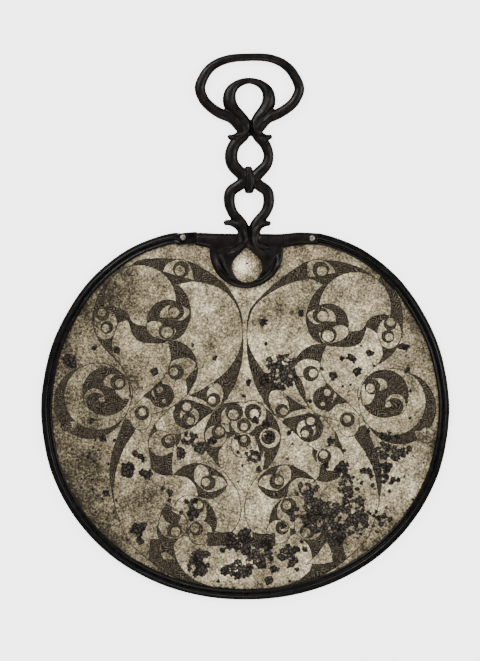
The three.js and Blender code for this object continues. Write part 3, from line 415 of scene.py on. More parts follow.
# Lumps of dark corrosion, [x, y, radius], where the sheet lay against the soil.
CRUSTS = [
    # left half
    [-75, -31.5, 4.7], [-62.5, -35, 3.2], [-65.5, -33.5, 2.2], [-70.5, -21, 2.1], [-67, -23, 2],
    [-65, -25, 1.8], [-68, -69.5, 4.2], [-65, -67, 2.5], [-67, -77, 2.5], [-112, 38, 4], [-110, 35, 2.5],
    [-96, 46, 1.9], [-82, 45, 2.3], [-98, -0.5, 2.2], [-57.5, 31, 2.6], [-19.5, 39.5, 1.8],
    [-33.5, 47.5, 1.3], [-48, -46, 2.3], [-52.5, -43.5, 1.7], [-48, -51, 1.5], [-37.5, -52, 1.7],
    [-32, -51.8, 1.8], [-34, -59.5, 3.6], [-41, -59, 1.4], [-21, -13, 2.6],
    # beads along the left foot
    [-118.5, -11.5, 0.8], [-110.3, -18.5, 1], [-106.2, -16.3, 0.9], [-103.3, -22, 1.1],
    [-106, -25.5, 0.8], [-100, -23.5, 1.2], [-99, -21, 1], [-96, -26.5, 1.3], [-96.8, -17.5, 0.9],
    [-93, -19, 1.1], [-95.3, -13, 1], [-90.5, -12, 2.4], [-83.3, -13, 1.1], [-87, -28, 1.1],
    [-103.7, -37.5, 0.9], [-97.5, -38, 1], [-104.3, -42.7, 1], [-97, -43.7, 1.1], [-88.5, -46.5, 2.2],
    [-94, -48, 1.2], [-91, -50, 1], [-82, -51, 1.1], [-83.5, -58, 1.3], [-95.3, -58.5, 0.9],
    [-90.7, -66, 1], [-75, -76, 1],
    # foot
    [-30, -88, 4], [-28, -94, 4.2], [-31, -97, 2.5], [-25, -85, 2.5], [-9, -78, 4.3], [0, -74, 4.3],
    [0, -83, 3.4], [-14.5, -83, 1.8], [-13, -96, 3.4], [-5, -99, 2.6], [3, -93, 2.3], [10, -92, 3.4],
    [14, -80, 3.4], [16, -88, 2], [18.5, -94.7, 2.7], [15.5, -102, 2.6], [-17, -102.5, 1.4],
    [28.5, -102.3, 1.2], [-16, -107, 1.2], [-11, -107.3, 1.1], [-7, -107, 0.9], [33, -95, 1.6],
    [38, -82.5, 1.9], [32, -82, 2.6], [36, -77.5, 1.3], [24.2, -67.3, 2.1],
    # round the middle
    [-1, 15.5, 1.3], [-6, 14, 0.7], [-3, 16, 0.7], [8.5, 11, 0.9], [-13.5, -2.3, 0.9], [6.5, 0, 2.4],
    [13, -2.5, 2.8], [15, -10.5, 2.5], [-20.5, -13.5, 2.4], [-5, -11, 2], [-4.5, -20.5, 1.2],
    [1, -18, 0.8], [4, -17.5, 0.8], [8.5, -31.5, 2.1], [-2, -29, 1], [7, -27, 0.9], [-4.5, -39, 0.9],
    [28, -8, 1.8], [27, -24.5, 1.2], [30, -15, 1], [2, 24, 2], [12, 24.5, 3.4],
    # right half, above
    [11.3, 62.3, 2.6], [35.5, 68.2, 2.1], [13.3, 48, 1.3], [79.5, 42.7, 2.3], [67, 40, 2.3],
    [69.5, 38.5, 1.9], [61.5, 39.5, 1.8], [56.6, 28.4, 2.6], [71, 31, 2.7], [48.8, 33, 1.3],
    [62, 21.3, 1], [67.4, 22.6, 1], [103.5, 31.5, 2], [102.5, 41, 1], [105.4, 39.5, 0.7],
    [113.5, 46, 0.8], [99, 46.7, 2.1], [102, 46.5, 2.1], [104.7, 47, 0.9], [97, 41.3, 0.6],
    [95.2, 37, 0.8], [82, 34.5, 1.1], [73.8, 47.2, 0.9], [105.3, 18.7, 1.1], [104.7, 1.5, 1.1],
    [110.3, -0.3, 0.9], [107.3, -1.7, 0.6], [107.2, -3.2, 0.5], [103, 11.5, 1], [41.3, 12, 1.5],
    # in the half-moon's window
    [1, 99.5, 0.8], [2.4, 97.8, 0.7], [4.6, 99, 0.6], [-1.4, 90.8, 0.6], [-3.8, 96.8, 0.5],
    [1.2, 99.6, 0.7], [2.3, 98.3, 0.5], [0.3, 98.2, 0.5],
    # right half, below
    [78.5, -7, 1.5], [88, -10, 2.5], [91, -11, 2.3], [92, -8, 1.2], [96.8, -11, 1.8], [54.4, -13.5, 2.5],
    [51, -29, 2.2], [63, -19.3, 1.3], [60.3, -22, 0.7], [66.8, -31.7, 0.8], [62, -29.5, 3.4],
    [58.5, -31.5, 2.5], [63.5, -33.5, 2.3], [75.3, -32.4, 2.2], [78.5, -32.6, 2.4], [80.3, -35.8, 1.4],
    [68.7, -36.3, 1], [71.5, -38, 1], [74, -39.8, 1.5], [71.3, -43.8, 1.6], [81, -41.5, 1.5],
    [82.3, -44, 0.8], [90, -30, 3.2], [88.5, -28.7, 2], [94, -37.5, 1.9], [93, -40, 1.8],
    [97.5, -37.8, 1.6], [101.3, -35.8, 1.2], [92, -45.3, 1.1], [89.8, -56, 1.2], [114, -26.7, 0.9],
    [107, -22.8, 0.8], [106.5, -50.3, 0.9], [75.3, -51, 1], [76.8, -50.3, 0.7], [73, -49.3, 0.8],
    [78.2, -58.2, 1.1], [79.6, -59.4, 1.2], [82, -56.6, 0.8], [83.5, -58.5, 1.3], [82, -61, 1.4],
    [85, -62, 1.9], [88.5, -61, 1.9], [92.3, -63.2, 1.8], [86.5, -66, 1.9], [81.5, -67.3, 1.2],
    [83.8, -71, 1.2], [66.5, -72, 1.7], [69, -71.5, 1.2], [73.5, -72.5, 1.2], [69.3, -75, 0.9],
    [71.8, -75.3, 1], [75.5, -73.8, 0.6], [58, -73.8, 2.7], [60, -77, 2.6], [62.5, -74, 2.2],
    [41, -61, 2], [45.5, -60.5, 1], [45.2, -63.8, 0.8], [38.5, -66.5, 1.4], [36, -70.8, 1.1],
    [57, -93, 1.4],
]
# Flat patches where the skin has gone grey and grainy, [x, y, half width, half height].
GREY_PATCHES = [
    [22.5, 36, 10, 5.5], [21, 26, 8, 6.5], [29, 28, 4, 7], [-35.5, -12, 4.5, 4], [-28, -17, 4.5, 4],
    [-42, -21.5, 3.5, 3], [5, -23, 5, 3.5], [32, -60, 5.5, 4.5], [44, -54, 7, 6], [52, -57, 8, 6.5],
    [47, -65, 7, 6], [55, -68, 6, 5.5], [60, -60, 7, 6], [69, -55, 8, 6.5], [72, -64, 7, 6],
    [63, -67, 6, 4], [64, -41, 5, 6], [66, -46, 4, 3], [38, -45, 6, 5], [44, -42, 4, 3],
    [88, -19.5, 4.5, 5], [95, -19.5, 6, 4.5], [102.5, -20, 3.5, 3.5], [97, -24.5, 4, 2], [86, -33, 4, 5],
    [88, -37, 3, 2.5], [25, -84, 6, 5], [28, -89, 5, 5], [59, -71, 5, 4], [57, -75.5, 4, 4.5],
    [-30, -91, 7, 8], [-8, -78, 8, 5.5], [8, -84, 8, 7], [-4, -94, 9, 6], [78, -19, 3, 4],
]
# Broad soft changes of tone, [x, y, half width, half height, strength], negative where it is darker: mostly
# the skin's own uneven tone, with painted shade in the dark ones along the rim at the left and the foot.
SHADES = [
    [6, 5, 66, 78, 0.13], [-114, 20, 22, 62, -0.16], [-100, -52, 26, 42, -0.16], [-92, 76, 26, 24, -0.2],
    [-62, -72, 30, 26, -0.14], [104, 74, 20, 26, -0.2], [76, 62, 18, 26, 0.2], [103, -32, 14, 26, 0.12],
    [60, -66, 26, 14, -0.12], [82, -42, 16, 20, 0.12], [20, 66, 9, 26, -0.06], [-26, 35, 14, 30, 0.08],
    [35, -98, 24, 12, 0.12], [-4, -92, 26, 12, 0.12], [0, 104, 40, 8, 0.1], [84, 22, 24, 22, 0.06],
    [-35, -40, 22, 20, 0.06], [-62, 30, 12, 22, -0.05], [-60, -48, 12, 10, -0.1], [1, 81, 15, 3, 0.16],
    # painted light on the bulge in the half-moon's window: a painted highlight on the left, painted shade at
    # the top, the right and the foot
    [-3, 98, 5, 6.5, 0.55], [8.5, 99, 4, 7, -0.3], [1, 106, 5, 3.5, -0.35], [3, 88.5, 6, 2, -0.15],
]
LIP_PAINTED_SHADOW = (0.16, 3.2)          # painted shadow along the rim's inner lip: how much darker, and how wide
EDGE_SOFTNESS = 0.9              # how gently a crust's edge fades, and a grey patch's
CRUST_MARGIN = 1.5               # the close points reach this far past the crusts
LUMP_CORE = 0.86                 # the core's radius over the whole lump's
FEWEST_BUDS = 3                  # round a lump, and this many more for each millimetre of its radius
MORE_BUDS = 2.4
SMALLEST_BUDDED = 0.75           # a lump smaller than this stays plain
BUD_REACH = (0.62, 1.02)         # how far out a bud sits and how large it is, over the lump's radius
BUD_SIZE = (0.24, 0.42)
LOBES_PER_AREA = 0.95            # of a grey patch, over its half width times its half height
LOBE_SIZE = (0.6, 1.75)


def field_of(patches, points, softness):
    """1 well inside any of the oval patches, 0.5 on their edges and 0 outside them."""
    value = np.zeros(len(points))
    for x, y, wide, high in patches:
        away = np.hypot((points[:, 0] - x) / wide, (points[:, 1] - y) / high)
        edge = (1 - away) * min(wide, high) / softness
        value = np.maximum(value, 0.5 + 0.5 * np.clip(edge, -1, 1))
    return value


def budded(crusts, random):
    """Each lump with smaller ones grown round its edge, which gives it a lobed outline."""
    grown = []
    for x, y, radius in crusts:
        grown.append([x, y, LUMP_CORE * radius, LUMP_CORE * radius])
        for _ in range(int(FEWEST_BUDS + MORE_BUDS * radius) if radius > SMALLEST_BUDDED else 0):
            turn = random.uniform(0, 2 * math.pi)
            reach = radius * random.uniform(*BUD_REACH)
            size = radius * random.uniform(*BUD_SIZE)
            grown.append([x + reach * math.cos(turn), y + reach * math.sin(turn), size, size])
    return grown


def colonies(patches, random):
    """Small lobes crowded over each patch, with gaps of bare metal left between them."""
    grown = []
    for x, y, wide, high in patches:
        for _ in range(int(LOBES_PER_AREA * wide * high)):
            turn, reach = random.uniform(0, 2 * math.pi), math.sqrt(random.uniform(0, 1))
            size = random.uniform(*LOBE_SIZE)
            grown.append([x + reach * wide * math.cos(turn), y + reach * high * math.sin(turn), size, size])
    return grown


growth = np.random.default_rng(11)
CRUST_LOBES = budded(CRUSTS, growth)
GREY_LOBES = colonies(GREY_PATCHES, growth)


def plate_points(border):
    """Where the sheet's mesh has its points: close along the lines and crusts, wide apart elsewhere."""
    random = np.random.default_rng(7)
    lines, sideways = engraved_lines()
    beside = [lines + sideways * halves * GROOVE_HALF for halves in (0, 1, -1, 2, -2)]

    def scatter(step):
        x, y = np.meshgrid(np.arange(*SPREAD_X, step), np.arange(*SPREAD_Y, step))
        grid = np.column_stack([x.ravel(), y.ravel()])
        return grid + random.uniform(-JITTER, JITTER, grid.shape) * step

    fine = scatter(HATCH_STEP)
    crusty = scatter(CRUST_STEP)
    crusty = crusty[field_of(CRUST_LOBES + GREY_LOBES, crusty, CRUST_MARGIN) > 0]
    everything = np.vstack([*beside, fine[hatched_at(fine)], crusty, scatter(OPEN_STEP)])
    everything = everything[inside(everything, border)]
    cell = np.round(everything / CELL)
    first = np.unique(cell, axis=0, return_index=True)[1]
    return everything[np.sort(first)], lines


def distance_from(line, places):
    """How far each place is from the nearest point of a line."""
    tree = kdtree.KDTree(len(line))
    for at, (x, y) in enumerate(line):
        tree.insert((x, y, 0), at)
    tree.balance()
    return np.array([tree.find((x, y, 0))[2] for x, y in places])


def make_plate():
    border = rim_line(EDGE_INSET, BORDER_STEP)
    points, lines = plate_points(rim_line(EDGE_INSET + BORDER_MARGIN, BORDER_STEP))
    loop = [(at, (at + 1) % len(border)) for at in range(len(border))]
    flat = [Vector(point) for point in np.vstack([border, points])]
    corners, _, faces, *_ = geometry.delaunay_2d_cdt(flat, loop, [], 1, 1e-4)
    xy = np.array([tuple(corner) for corner in corners])

    groove = np.exp(-(distance_from(lines, xy) / (1.25 * GROOVE_HALF)) ** 2)
    hatch = hatched_at(xy).astype(float)
    crust = field_of(CRUST_LOBES, xy, EDGE_SOFTNESS)
    grey = field_of(GREY_LOBES, xy, EDGE_SOFTNESS)
    # the shade layer: broad tone, with painted shade by the rim and painted light on the window's bulge
    shade = sum(strength * np.exp(-((xy[:, 0] - x) / wide) ** 2 - ((xy[:, 1] - y) / high) ** 2)
                for x, y, wide, high, strength in SHADES)
    # painted shadow: the sheet is darkened along the rim's inner lip
    deeper, reach = LIP_PAINTED_SHADOW
    shade -= deeper * np.exp(-(distance_from(rim_line(RIM_WIDTH, 1.0), xy) / reach) ** 2)
    knobs = np.array([noise.noise((x / KNOB_SIZE, y / KNOB_SIZE, 5)) for x, y in xy])
    grit = np.array([noise.noise((x / GRIT_SIZE, y / GRIT_SIZE, 9)) for x, y in xy])
    window_x, window_y, window_radius = WINDOW
    dome = np.hypot(xy[:, 0] - window_x, xy[:, 1] - window_y) / (DOME_REACH * window_radius)
    dome = np.clip(1 - dome, 0, 1)
    raised = np.clip((crust - 0.35) / 0.5, 0, 1)
    height = (PLATE_TOP - GROOVE_DEPTH * groove - hatch * (HATCH_DEPTH + HATCH_GRIT * grit)
              + raised * CRUST_RISE * (0.75 + 0.9 * knobs) + GREY_GRIT * grey * grit
              + DOME_RISE * np.sin(dome * math.pi / 2) ** 1.5)

    mesh = bpy.data.meshes.new("engraved_plate")
    mesh.from_pydata([(x, y, z) for (x, y), z in zip(xy, height)], [], faces)
    layers = {"groove": groove, "hatch": hatch, "crust": crust, "grey": grey, "shade": shade}
    for name, values in layers.items():
        mesh.attributes.new(name, "FLOAT", "POINT").data.foreach_set("value", values)
    sheet = bmesh.new()
    sheet.from_mesh(mesh)
    brink = [edge for edge in sheet.edges if edge.is_boundary]
    under = bmesh.ops.extrude_edge_only(sheet, edges=brink)["geom"]
    for vert in under:
        if isinstance(vert, bmesh.types.BMVert):
            vert.co.z = PLATE_BOTTOM
    foot = [edge for edge in under if isinstance(edge, bmesh.types.BMEdge)]
    bmesh.ops.contextual_create(sheet, geom=foot)
    bmesh.ops.recalc_face_normals(sheet, faces=sheet.faces)
    return finished(sheet, "engraved_plate", mesh)


def finished(shape, name, mesh=None):
    """The object for a bmesh that was shaped in millimetres from the plate's middle, put in its place."""
    shape.transform(Matrix.Translation(MIDDLE) @ Matrix.Diagonal((MM, MM, MM, 1)))
    mesh = mesh or bpy.data.meshes.new(name)
    for face in shape.faces:
        face.smooth = True
    shape.to_mesh(mesh)
    shape.free()
    piece = bpy.data.objects.new(name, mesh)
    bpy.context.scene.collection.objects.link(piece)
    return piece


def add_node(tree, kind, settings=None, **inputs):
    """A new node; its inputs are given by name, each as a value or as the socket that feeds it."""
    node = tree.nodes.new("ShaderNode" + kind)
    for name, value in (settings or {}).items():
        setattr(node, name, value)
    for name, value in inputs.items():
        socket = node.inputs[name.replace("_", " ")]
        if isinstance(value, bpy.types.NodeSocket):
            tree.links.new(value, socket)
        else:
            socket.default_value = value
    return node


def new_group(name, inputs, output):
    """An empty shader group with these numbers going in and one coming out."""
    group = bpy.data.node_groups.new(name, "ShaderNodeTree")
    for socket in inputs:
        group.interface.new_socket(socket, in_out="INPUT", socket_type="NodeSocketFloat")
    group.interface.new_socket(output, in_out="OUTPUT", socket_type="NodeSocketFloat")
    given = group.nodes.new("NodeGroupInput").outputs
    return group, given, group.nodes.new("NodeGroupOutput").inputs[output]


def grain_group():
    """A shader group: a noise over the object, its features about 1/Scale metres across."""
    group, given, result = new_group("grain", ("Scale", "Detail", "Roughness"), "Value")
    place = add_node(group, "TexCoord").outputs["Object"]
    speckle = add_node(group, "TexNoise", Vector=place, Scale=given["Scale"], Detail=given["Detail"],
                       Roughness=given["Roughness"])
    group.links.new(speckle.outputs["Fac"], result)
    return group


GRAIN = grain_group()


def grain(tree, scale, detail=3.0, roughness=0.55):
    node = add_node(tree, "Group", {"node_tree": GRAIN}, Scale=scale, Detail=detail, Roughness=roughness)
    return node.outputs["Value"]


def strayed(tree, scale, detail, reach):
    """The place on the object, carried off by up to about `reach` metres."""
    place = add_node(tree, "TexCoord").outputs["Object"]
    wander = add_node(tree, "TexNoise", Vector=place, Scale=scale, Detail=detail).outputs["Color"]
    wander = add_node(tree, "VectorMath", {"operation": "SCALE"}, Vector=wander, Scale=reach)
    moved = add_node(tree, "VectorMath", {"operation": "ADD"}, Vector=place)
    tree.links.new(wander.outputs["Vector"], moved.inputs[1])
    return moved.outputs["Vector"]


def lumps(tree, scale):
    """Rounded cells over the object: 1 in the middle of each and 0 in the cracks between them."""
    cells = add_node(tree, "TexVoronoi", {"feature": "DISTANCE_TO_EDGE"},
                     Vector=strayed(tree, 1.6 * scale, 2.0, 0.7 / scale), Scale=scale)
    return between(tree, cells.outputs["Distance"], 0.03, 0.3)


def sums(tree, operation, a, b):
    """One sum of two values or sockets."""
    node = tree.nodes.new("ShaderNodeMath")
    node.operation = operation
    for socket, value in zip(node.inputs, (a, b)):
        if isinstance(value, bpy.types.NodeSocket):
            tree.links.new(value, socket)
        else:
            socket.default_value = value
    return node.outputs[0]


def between(tree, value, low, high, to_low=0.0, to_high=1.0):
    """The value carried smoothly from one range to another."""
    node = add_node(tree, "MapRange", {"interpolation_type": "SMOOTHSTEP"}, Value=value)
    for name, limit in (("From Min", low), ("From Max", high), ("To Min", to_low), ("To Max", to_high)):
        node.inputs[name].default_value = limit
    return node.outputs["Result"]


def over(tree, mask, under, above):
    """One colour laid over another where the mask is 1."""
    node = add_node(tree, "Mix", {"data_type": "RGBA"})
    for socket, value in zip((node.inputs[0], node.inputs[6], node.inputs[7]), (mask, under, above)):
        if isinstance(value, bpy.types.NodeSocket):
            tree.links.new(value, socket)
        else:
            socket.default_value = value if isinstance(value, float) else (*value, 1)
    return node.outputs[2]


def ramp(tree, value, *stops):
    """A colour for each value, from stops of (position, colour)."""
    node = add_node(tree, "ValToRGB", Fac=value)
    elements = node.color_ramp.elements
    while len(elements) < len(stops):
        elements.new(0.5)
    for element, (position, colour) in zip(elements, stops):
        element.position = position
        element.color = (*colour, 1)
    return node.outputs["Color"]


def metal(name, colour, roughness, bump, metallic, specular=0.5):
    """A material whose colour, roughness and relief come from the sockets that its functions build."""
    material = bpy.data.materials.new(name)
    material.use_nodes = True
    tree = material.node_tree
    shader = tree.nodes["Principled BSDF"]
    shader.inputs["Metallic"].default_value = metallic
    shader.inputs["Specular IOR Level"].default_value = specular
    tree.links.new(colour(tree), shader.inputs["Base Color"])
    tree.links.new(roughness(tree), shader.inputs["Roughness"])
    relief = add_node(tree, "Bump", Height=bump(tree), Distance=0.001)
    tree.links.new(relief.outputs["Normal"], shader.inputs["Normal"])
    return material


def ragged_group():
    """A shader group: a ragged mask from a soft attribute, 1 inside and 0 outside."""
    group, given, mask = new_group("ragged edge", ("Value", "Scale", "Spread"), "Mask")
    place = add_node(group, "TexCoord").outputs["Object"]
    rough = add_node(group, "TexNoise", Vector=place, Scale=given["Scale"], Detail=3.0).outputs["Fac"]
    wander = sums(group, "MULTIPLY", sums(group, "SUBTRACT", rough, 0.5), given["Spread"])
    value = sums(group, "ADD", given["Value"], wander)
    group.links.new(between(group, value, 0.44, 0.56), mask)
    return group


RAGGED = ragged_group()


def ragged(tree, value, scale, spread):
    node = add_node(tree, "Group", {"node_tree": RAGGED}, Value=value, Scale=scale, Spread=spread)
    return node.outputs["Mask"]


SKIN = [                         # the sheet's skin, from smoky to worn bright
    (0.0, (0.0180, 0.0144, 0.0085)), (0.2, (0.053, 0.0428, 0.026)), (0.4, (0.146, 0.119, 0.072)),
    (0.55, (0.245, 0.201, 0.122)), (0.7, (0.395, 0.329, 0.205)), (0.85, (0.63, 0.54, 0.36)),
    (1.0, (1.0, 0.895, 0.66)),
]
HATCH_DARK = (0.002, 0.0016, 0.0011)
HATCH_LIGHT = (0.12, 0.096, 0.062)
LUMP_DARK = (0.0012, 0.0009, 0.0007)
CRUST_LIGHT = (0.044, 0.035, 0.026)
GREY_LIGHT = (0.062, 0.051, 0.039)
GROOVE_DARK = (0.012, 0.009, 0.006)
SKIN_TONE = 0.46                 # where bare metal lies on that scale before it is mottled
# The mottling, from broad clouds to fine specks: its scale, detail, roughness and strength.
MOTTLING = [(34.0, 3.0, 0.5, 0.75), (130.0, 4.0, 0.6, 0.9), (900.0, 2.0, 0.7, 1.7)]
PIT_SHADE = 0.4                  # how much darker the small pits are
HATCH_SQUARES = 520.0            # scales of the basketwork: its squares, and the strokes in them
HATCH_STROKES = 320.0


def layer(tree, name):
    return add_node(tree, "Attribute", {"attribute_name": name}).outputs["Fac"]


def basketry(tree):
    """Small squares of parallel strokes, each turned across its neighbours."""
    place = strayed(tree, 70.0, 1.0, 0.012)
    squares = add_node(tree, "TexChecker", Vector=place, Scale=HATCH_SQUARES).outputs["Fac"]
    mixed = add_node(tree, "Mix", Factor=squares)
    for direction, socket in zip("XY", mixed.inputs[2:4]):
        strokes = add_node(tree, "TexWave", {"bands_direction": direction}, Vector=place,
                           Scale=HATCH_STROKES, Distortion=2.0, Detail=1.0)
        tree.links.new(strokes.outputs["Fac"], socket)
    return mixed.outputs[0]


def swing(tree, scale, detail, roughness, amount):
    """A noise about 0 that reaches about half the amount either way."""
    centred = sums(tree, "SUBTRACT", grain(tree, scale, detail, roughness), 0.5)
    return sums(tree, "MULTIPLY", centred, amount)


def plate_colour(tree):
    # the shade layer carries broad tone along with painted shade and painted light
    tone = sums(tree, "ADD", layer(tree, "shade"), SKIN_TONE)
    for mottle in MOTTLING:
        tone = sums(tree, "ADD", tone, swing(tree, *mottle))
    pits = between(tree, grain(tree, 480.0, 1.0), 0.69, 0.75, 0.0, PIT_SHADE)
    skin = ramp(tree, sums(tree, "SUBTRACT", tone, pits), *SKIN)
    weave = sums(tree, "MULTIPLY", basketry(tree), 0.8)
    weave = sums(tree, "ADD", weave, swing(tree, 700.0, 2.0, 0.6, 1.5))
    hatch = ramp(tree, weave, (0.25, HATCH_DARK), (1.0, HATCH_LIGHT))
    colour = over(tree, between(tree, layer(tree, "hatch"), 0.4, 0.6), skin, hatch)
    grey = over(tree, lumps(tree, 520.0), LUMP_DARK, GREY_LIGHT)
    colour = over(tree, ragged(tree, layer(tree, "grey"), 380.0, 1.9), colour, grey)
    colour = over(tree, between(tree, layer(tree, "groove"), 0.35, 0.95), colour, GROOVE_DARK)
    crust = over(tree, lumps(tree, 430.0), LUMP_DARK, CRUST_LIGHT)
    return over(tree, ragged(tree, layer(tree, "crust"), 600.0, 0.9), colour, crust)


def plate_roughness(tree):
    worn = between(tree, grain(tree, 160.0), 0.3, 0.7, 0.36, 0.54)
    coarse = sums(tree, "MAXIMUM", layer(tree, "hatch"), layer(tree, "crust"))
    return sums(tree, "ADD", worn, sums(tree, "MULTIPLY", coarse, 0.35))


def plate_relief(tree):
    strokes = sums(tree, "MULTIPLY", layer(tree, "hatch"), 0.22)
    strokes = sums(tree, "MULTIPLY", basketry(tree), strokes)
    knobs = sums(tree, "MULTIPLY", layer(tree, "crust"), 0.5)
    knobs = sums(tree, "MULTIPLY", grain(tree, 800.0, 4.0), knobs)
    skin = sums(tree, "MULTIPLY", grain(tree, 450.0, 4.0), 0.06)
    return sums(tree, "ADD", sums(tree, "ADD", strokes, knobs), skin)


plate = make_plate()
plate.data.materials.append(
    metal("engraved bronze", plate_colour, plate_roughness, plate_relief, metallic=0.1, specular=0.16))
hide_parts("mirror_plate")
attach(plate, "root")

# ---- the rim ---------------------------------------------------------------------------------------
# One length of cast tube with a slot along its inner side, slipped over the edge of the sheet: a round
# band outside, a groove, and a thin lip that lies on the engraved face. Its left end is hammered flat
# under a rivet. Its skin is black with a faint gloss.

RIM_LEFT_END = -30.85            # x where the rim stops and the handle's left arm begins
RIM_RIGHT_END = 46.15            # x where the handle's right arm stops and the rim begins
# Section of the tube, [distance in from its outer face, height].
RIM_SECTION = [
    [3.4, 2.2], [7, 2.2], [7.05, 1.6], [6.6, 1.2], [5.2, 1.15], [4.5, 0.5], [3.4, 0], [2.2, 0], [1.1, 0.35],
    [0.3, 1.3], [0, 2.4], [0, 3.6], [0.35, 4.7], [0.9, 5.4], [1.3, 5.5], [1.6, 5.9], [2.3, 6.35], [3.1, 6.4],
    [3.8, 6.1], [4.2, 5.4], [4.5, 4.75], [4.9, 4.7], [5.3, 5.15], [6, 5.35], [6.6, 5.2], [7, 4.8], [7, 4.3],
    [3.4, 4.3],
]
CROWN_FROM = 100                 # the crown of the outline is what lies above this y
CROWN_HALF = 70                  # and within this far of the axis
PAD_START = -44.5                # x from which the end is hammered flat
PAD_RUN = 3                      # over this length it goes from round to flat
PAD_TOP = 5.9                    # the hammered end lies a little lower than the tube
PAD_DROP = 0.9                   # the blows drive it inwards
PAD_SPREAD = 0.6                 # and widen its thin lip
LIP_FROM = 4.8                   # the lip is what lies further in than this
BAND_TOP = 4.4                   # above this height the tube is dented
FOOT_TOP = 1                     # below this height its sides aren't
BROAD_DENT = 0.16                # depth of the broad dents, and of the small ones in them
SMALL_DENT = 0.05
BROAD_SIZE = 9                   # and how wide they are
SMALL_SIZE = 2.2
SIDE_DENT = 0.6                  # how much of a dent shows at the side


def new_curve(name, lines, closed=False, **settings):
    """A curve with a run of straight stretches through each line of points."""
    curve = bpy.data.curves.new(name, "CURVE")
    for setting, value in settings.items():
        setattr(curve, setting, value)
    for line in lines:
        spline = curve.splines.new("POLY")
        spline.points.add(len(line) - 1)
        for point, (x, y, *z) in zip(spline.points, line):
            point.co = (x, y, *(z or [0]), 1)
        spline.use_cyclic_u = closed
    return curve


def linked(data):
    """An object in the scene that carries this curve or mesh for a while."""
    holder = bpy.data.objects.new(data.name, data)
    bpy.context.scene.collection.objects.link(holder)
    return holder


def taken_from(holder):
    """The mesh that such an object comes out as. The object is dropped."""
    seen = holder.evaluated_get(bpy.context.evaluated_depsgraph_get())
    mesh = bpy.data.meshes.new_from_object(seen)
    bpy.data.objects.remove(holder)
    return mesh


def swept(line, section, name):
    """A tube of one section along a level line of points; the section runs in from the line and up."""
    turned = [(-inward, height) for inward, height in section]
    profile = linked(new_curve(name + "_section", [turned], closed=True, dimensions="2D"))
    path = new_curve(name, [line], dimensions="2D", fill_mode="NONE", use_fill_caps=True,
                     bevel_mode="OBJECT", bevel_object=profile)
    shape = bmesh.new()
    shape.from_mesh(taken_from(linked(path)))
    bpy.data.objects.remove(profile)
    bmesh.ops.remove_doubles(shape, verts=shape.verts, dist=1e-4)
    bmesh.ops.recalc_face_normals(shape, faces=shape.faces)
    return shape


def make_rim():
    edge = rim_line(0, 1.2)
    bare = [(x, y) for x, y in edge if not (y > CROWN_FROM and RIM_LEFT_END < x < RIM_RIGHT_END)]
    start = next(at for at, (x, y) in enumerate(bare) if y > CROWN_FROM and x < RIM_LEFT_END)
    crown = edge[(edge[:, 1] > CROWN_FROM) & (abs(edge[:, 0]) < CROWN_HALF)]
    crown = crown[np.argsort(crown[:, 0])]
    ends = [(x, np.interp(x, *crown.T)) for x in (RIM_LEFT_END, RIM_RIGHT_END)]
    tube = swept([ends[0], *bare[start:], *bare[:start], ends[1]], RIM_SECTION, "rim")
    for vert in tube.verts:
        x, y, z = vert.co
        dent = (noise.noise((x / BROAD_SIZE, y / BROAD_SIZE, z / 3)) * BROAD_DENT
                + noise.noise((x / SMALL_SIZE, y / SMALL_SIZE, z)) * SMALL_DENT)
        inward = np.interp(x, *crown.T) - y
        flat = min(1.0, max(0.0, (x - PAD_START) / PAD_RUN)) if y > CROWN_FROM and x < 0 else 0.0
        if z > BAND_TOP:
            vert.co.z = z + flat * (PAD_TOP - z) + dent
        vert.co.y -= flat * (PAD_DROP + (PAD_SPREAD if inward > LIP_FROM else 0))
        side = SIDE_DENT * dent if z > FOOT_TOP else 0
        vert.co.x += side * (1 if x > 0 else -1)
    return finished(tube, "rim")


RIM_BLACK = (0.0009, 0.0008, 0.0007)
RIM_BROWN = (0.006, 0.0052, 0.0044)


def patina(name, blotches, tones, gloss, relief, metallic=0.0, specular=0.5):
    """A metal whose tone, gloss and relief each follow a grain of their own.

    `blotches` is the scale, detail and roughness of the grain that picks a colour from the tones,
    `gloss` a scale and two limits, and `relief` a scale, a detail and a strength."""
    gloss_scale, smoothest, roughest = gloss
    relief_scale, relief_detail, strength = relief
    return metal(
        name,
        lambda tree: ramp(tree, grain(tree, *blotches), *tones),
        lambda tree: between(tree, grain(tree, gloss_scale), 0.3, 0.7, smoothest, roughest),
        lambda tree: sums(tree, "MULTIPLY", grain(tree, relief_scale, relief_detail), strength),
        metallic, specular)


rim = make_rim()
rim.data.materials.append(
    patina("black rim", (260.0, 5.0, 0.65), [(0.4, RIM_BLACK), (0.72, RIM_BROWN)],
           gloss=(300.0, 0.26, 0.42), relief=(500.0, 4.0, 0.1), specular=0.13))
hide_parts("rim_binding")
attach(rim, "root")

# ---- the handle ------------------------------------------------------------------------------------
# One bronze casting: a wide loop, three rings tied by a collar, small fins where the loops cross, two
# flared arms that take the place of the rim, and a half-moon on either side of the sheet with a tear-shaped
# window. It was cast in a mould cut from wax, so every junction is soft and runs into the next.

ROD_MIDDLE = 3.5                 # height of the rods' centre lines
ROD_REACH = 3.5                  # no rod stands further than this above or below it
ROD_SQUEEZE = 3.9                # thick rods are flattened softly towards this height
HANDLE_TOP = 7.6                 # nothing on it stands higher than the collar
ARM_HEIGHT = 0.95                # the arms are a little thinner than the other rods
VOXEL = 0.42                     # grain of the skin that the rods are fused into
SOFTENING = 2                    # rounds of smoothing over their junctions
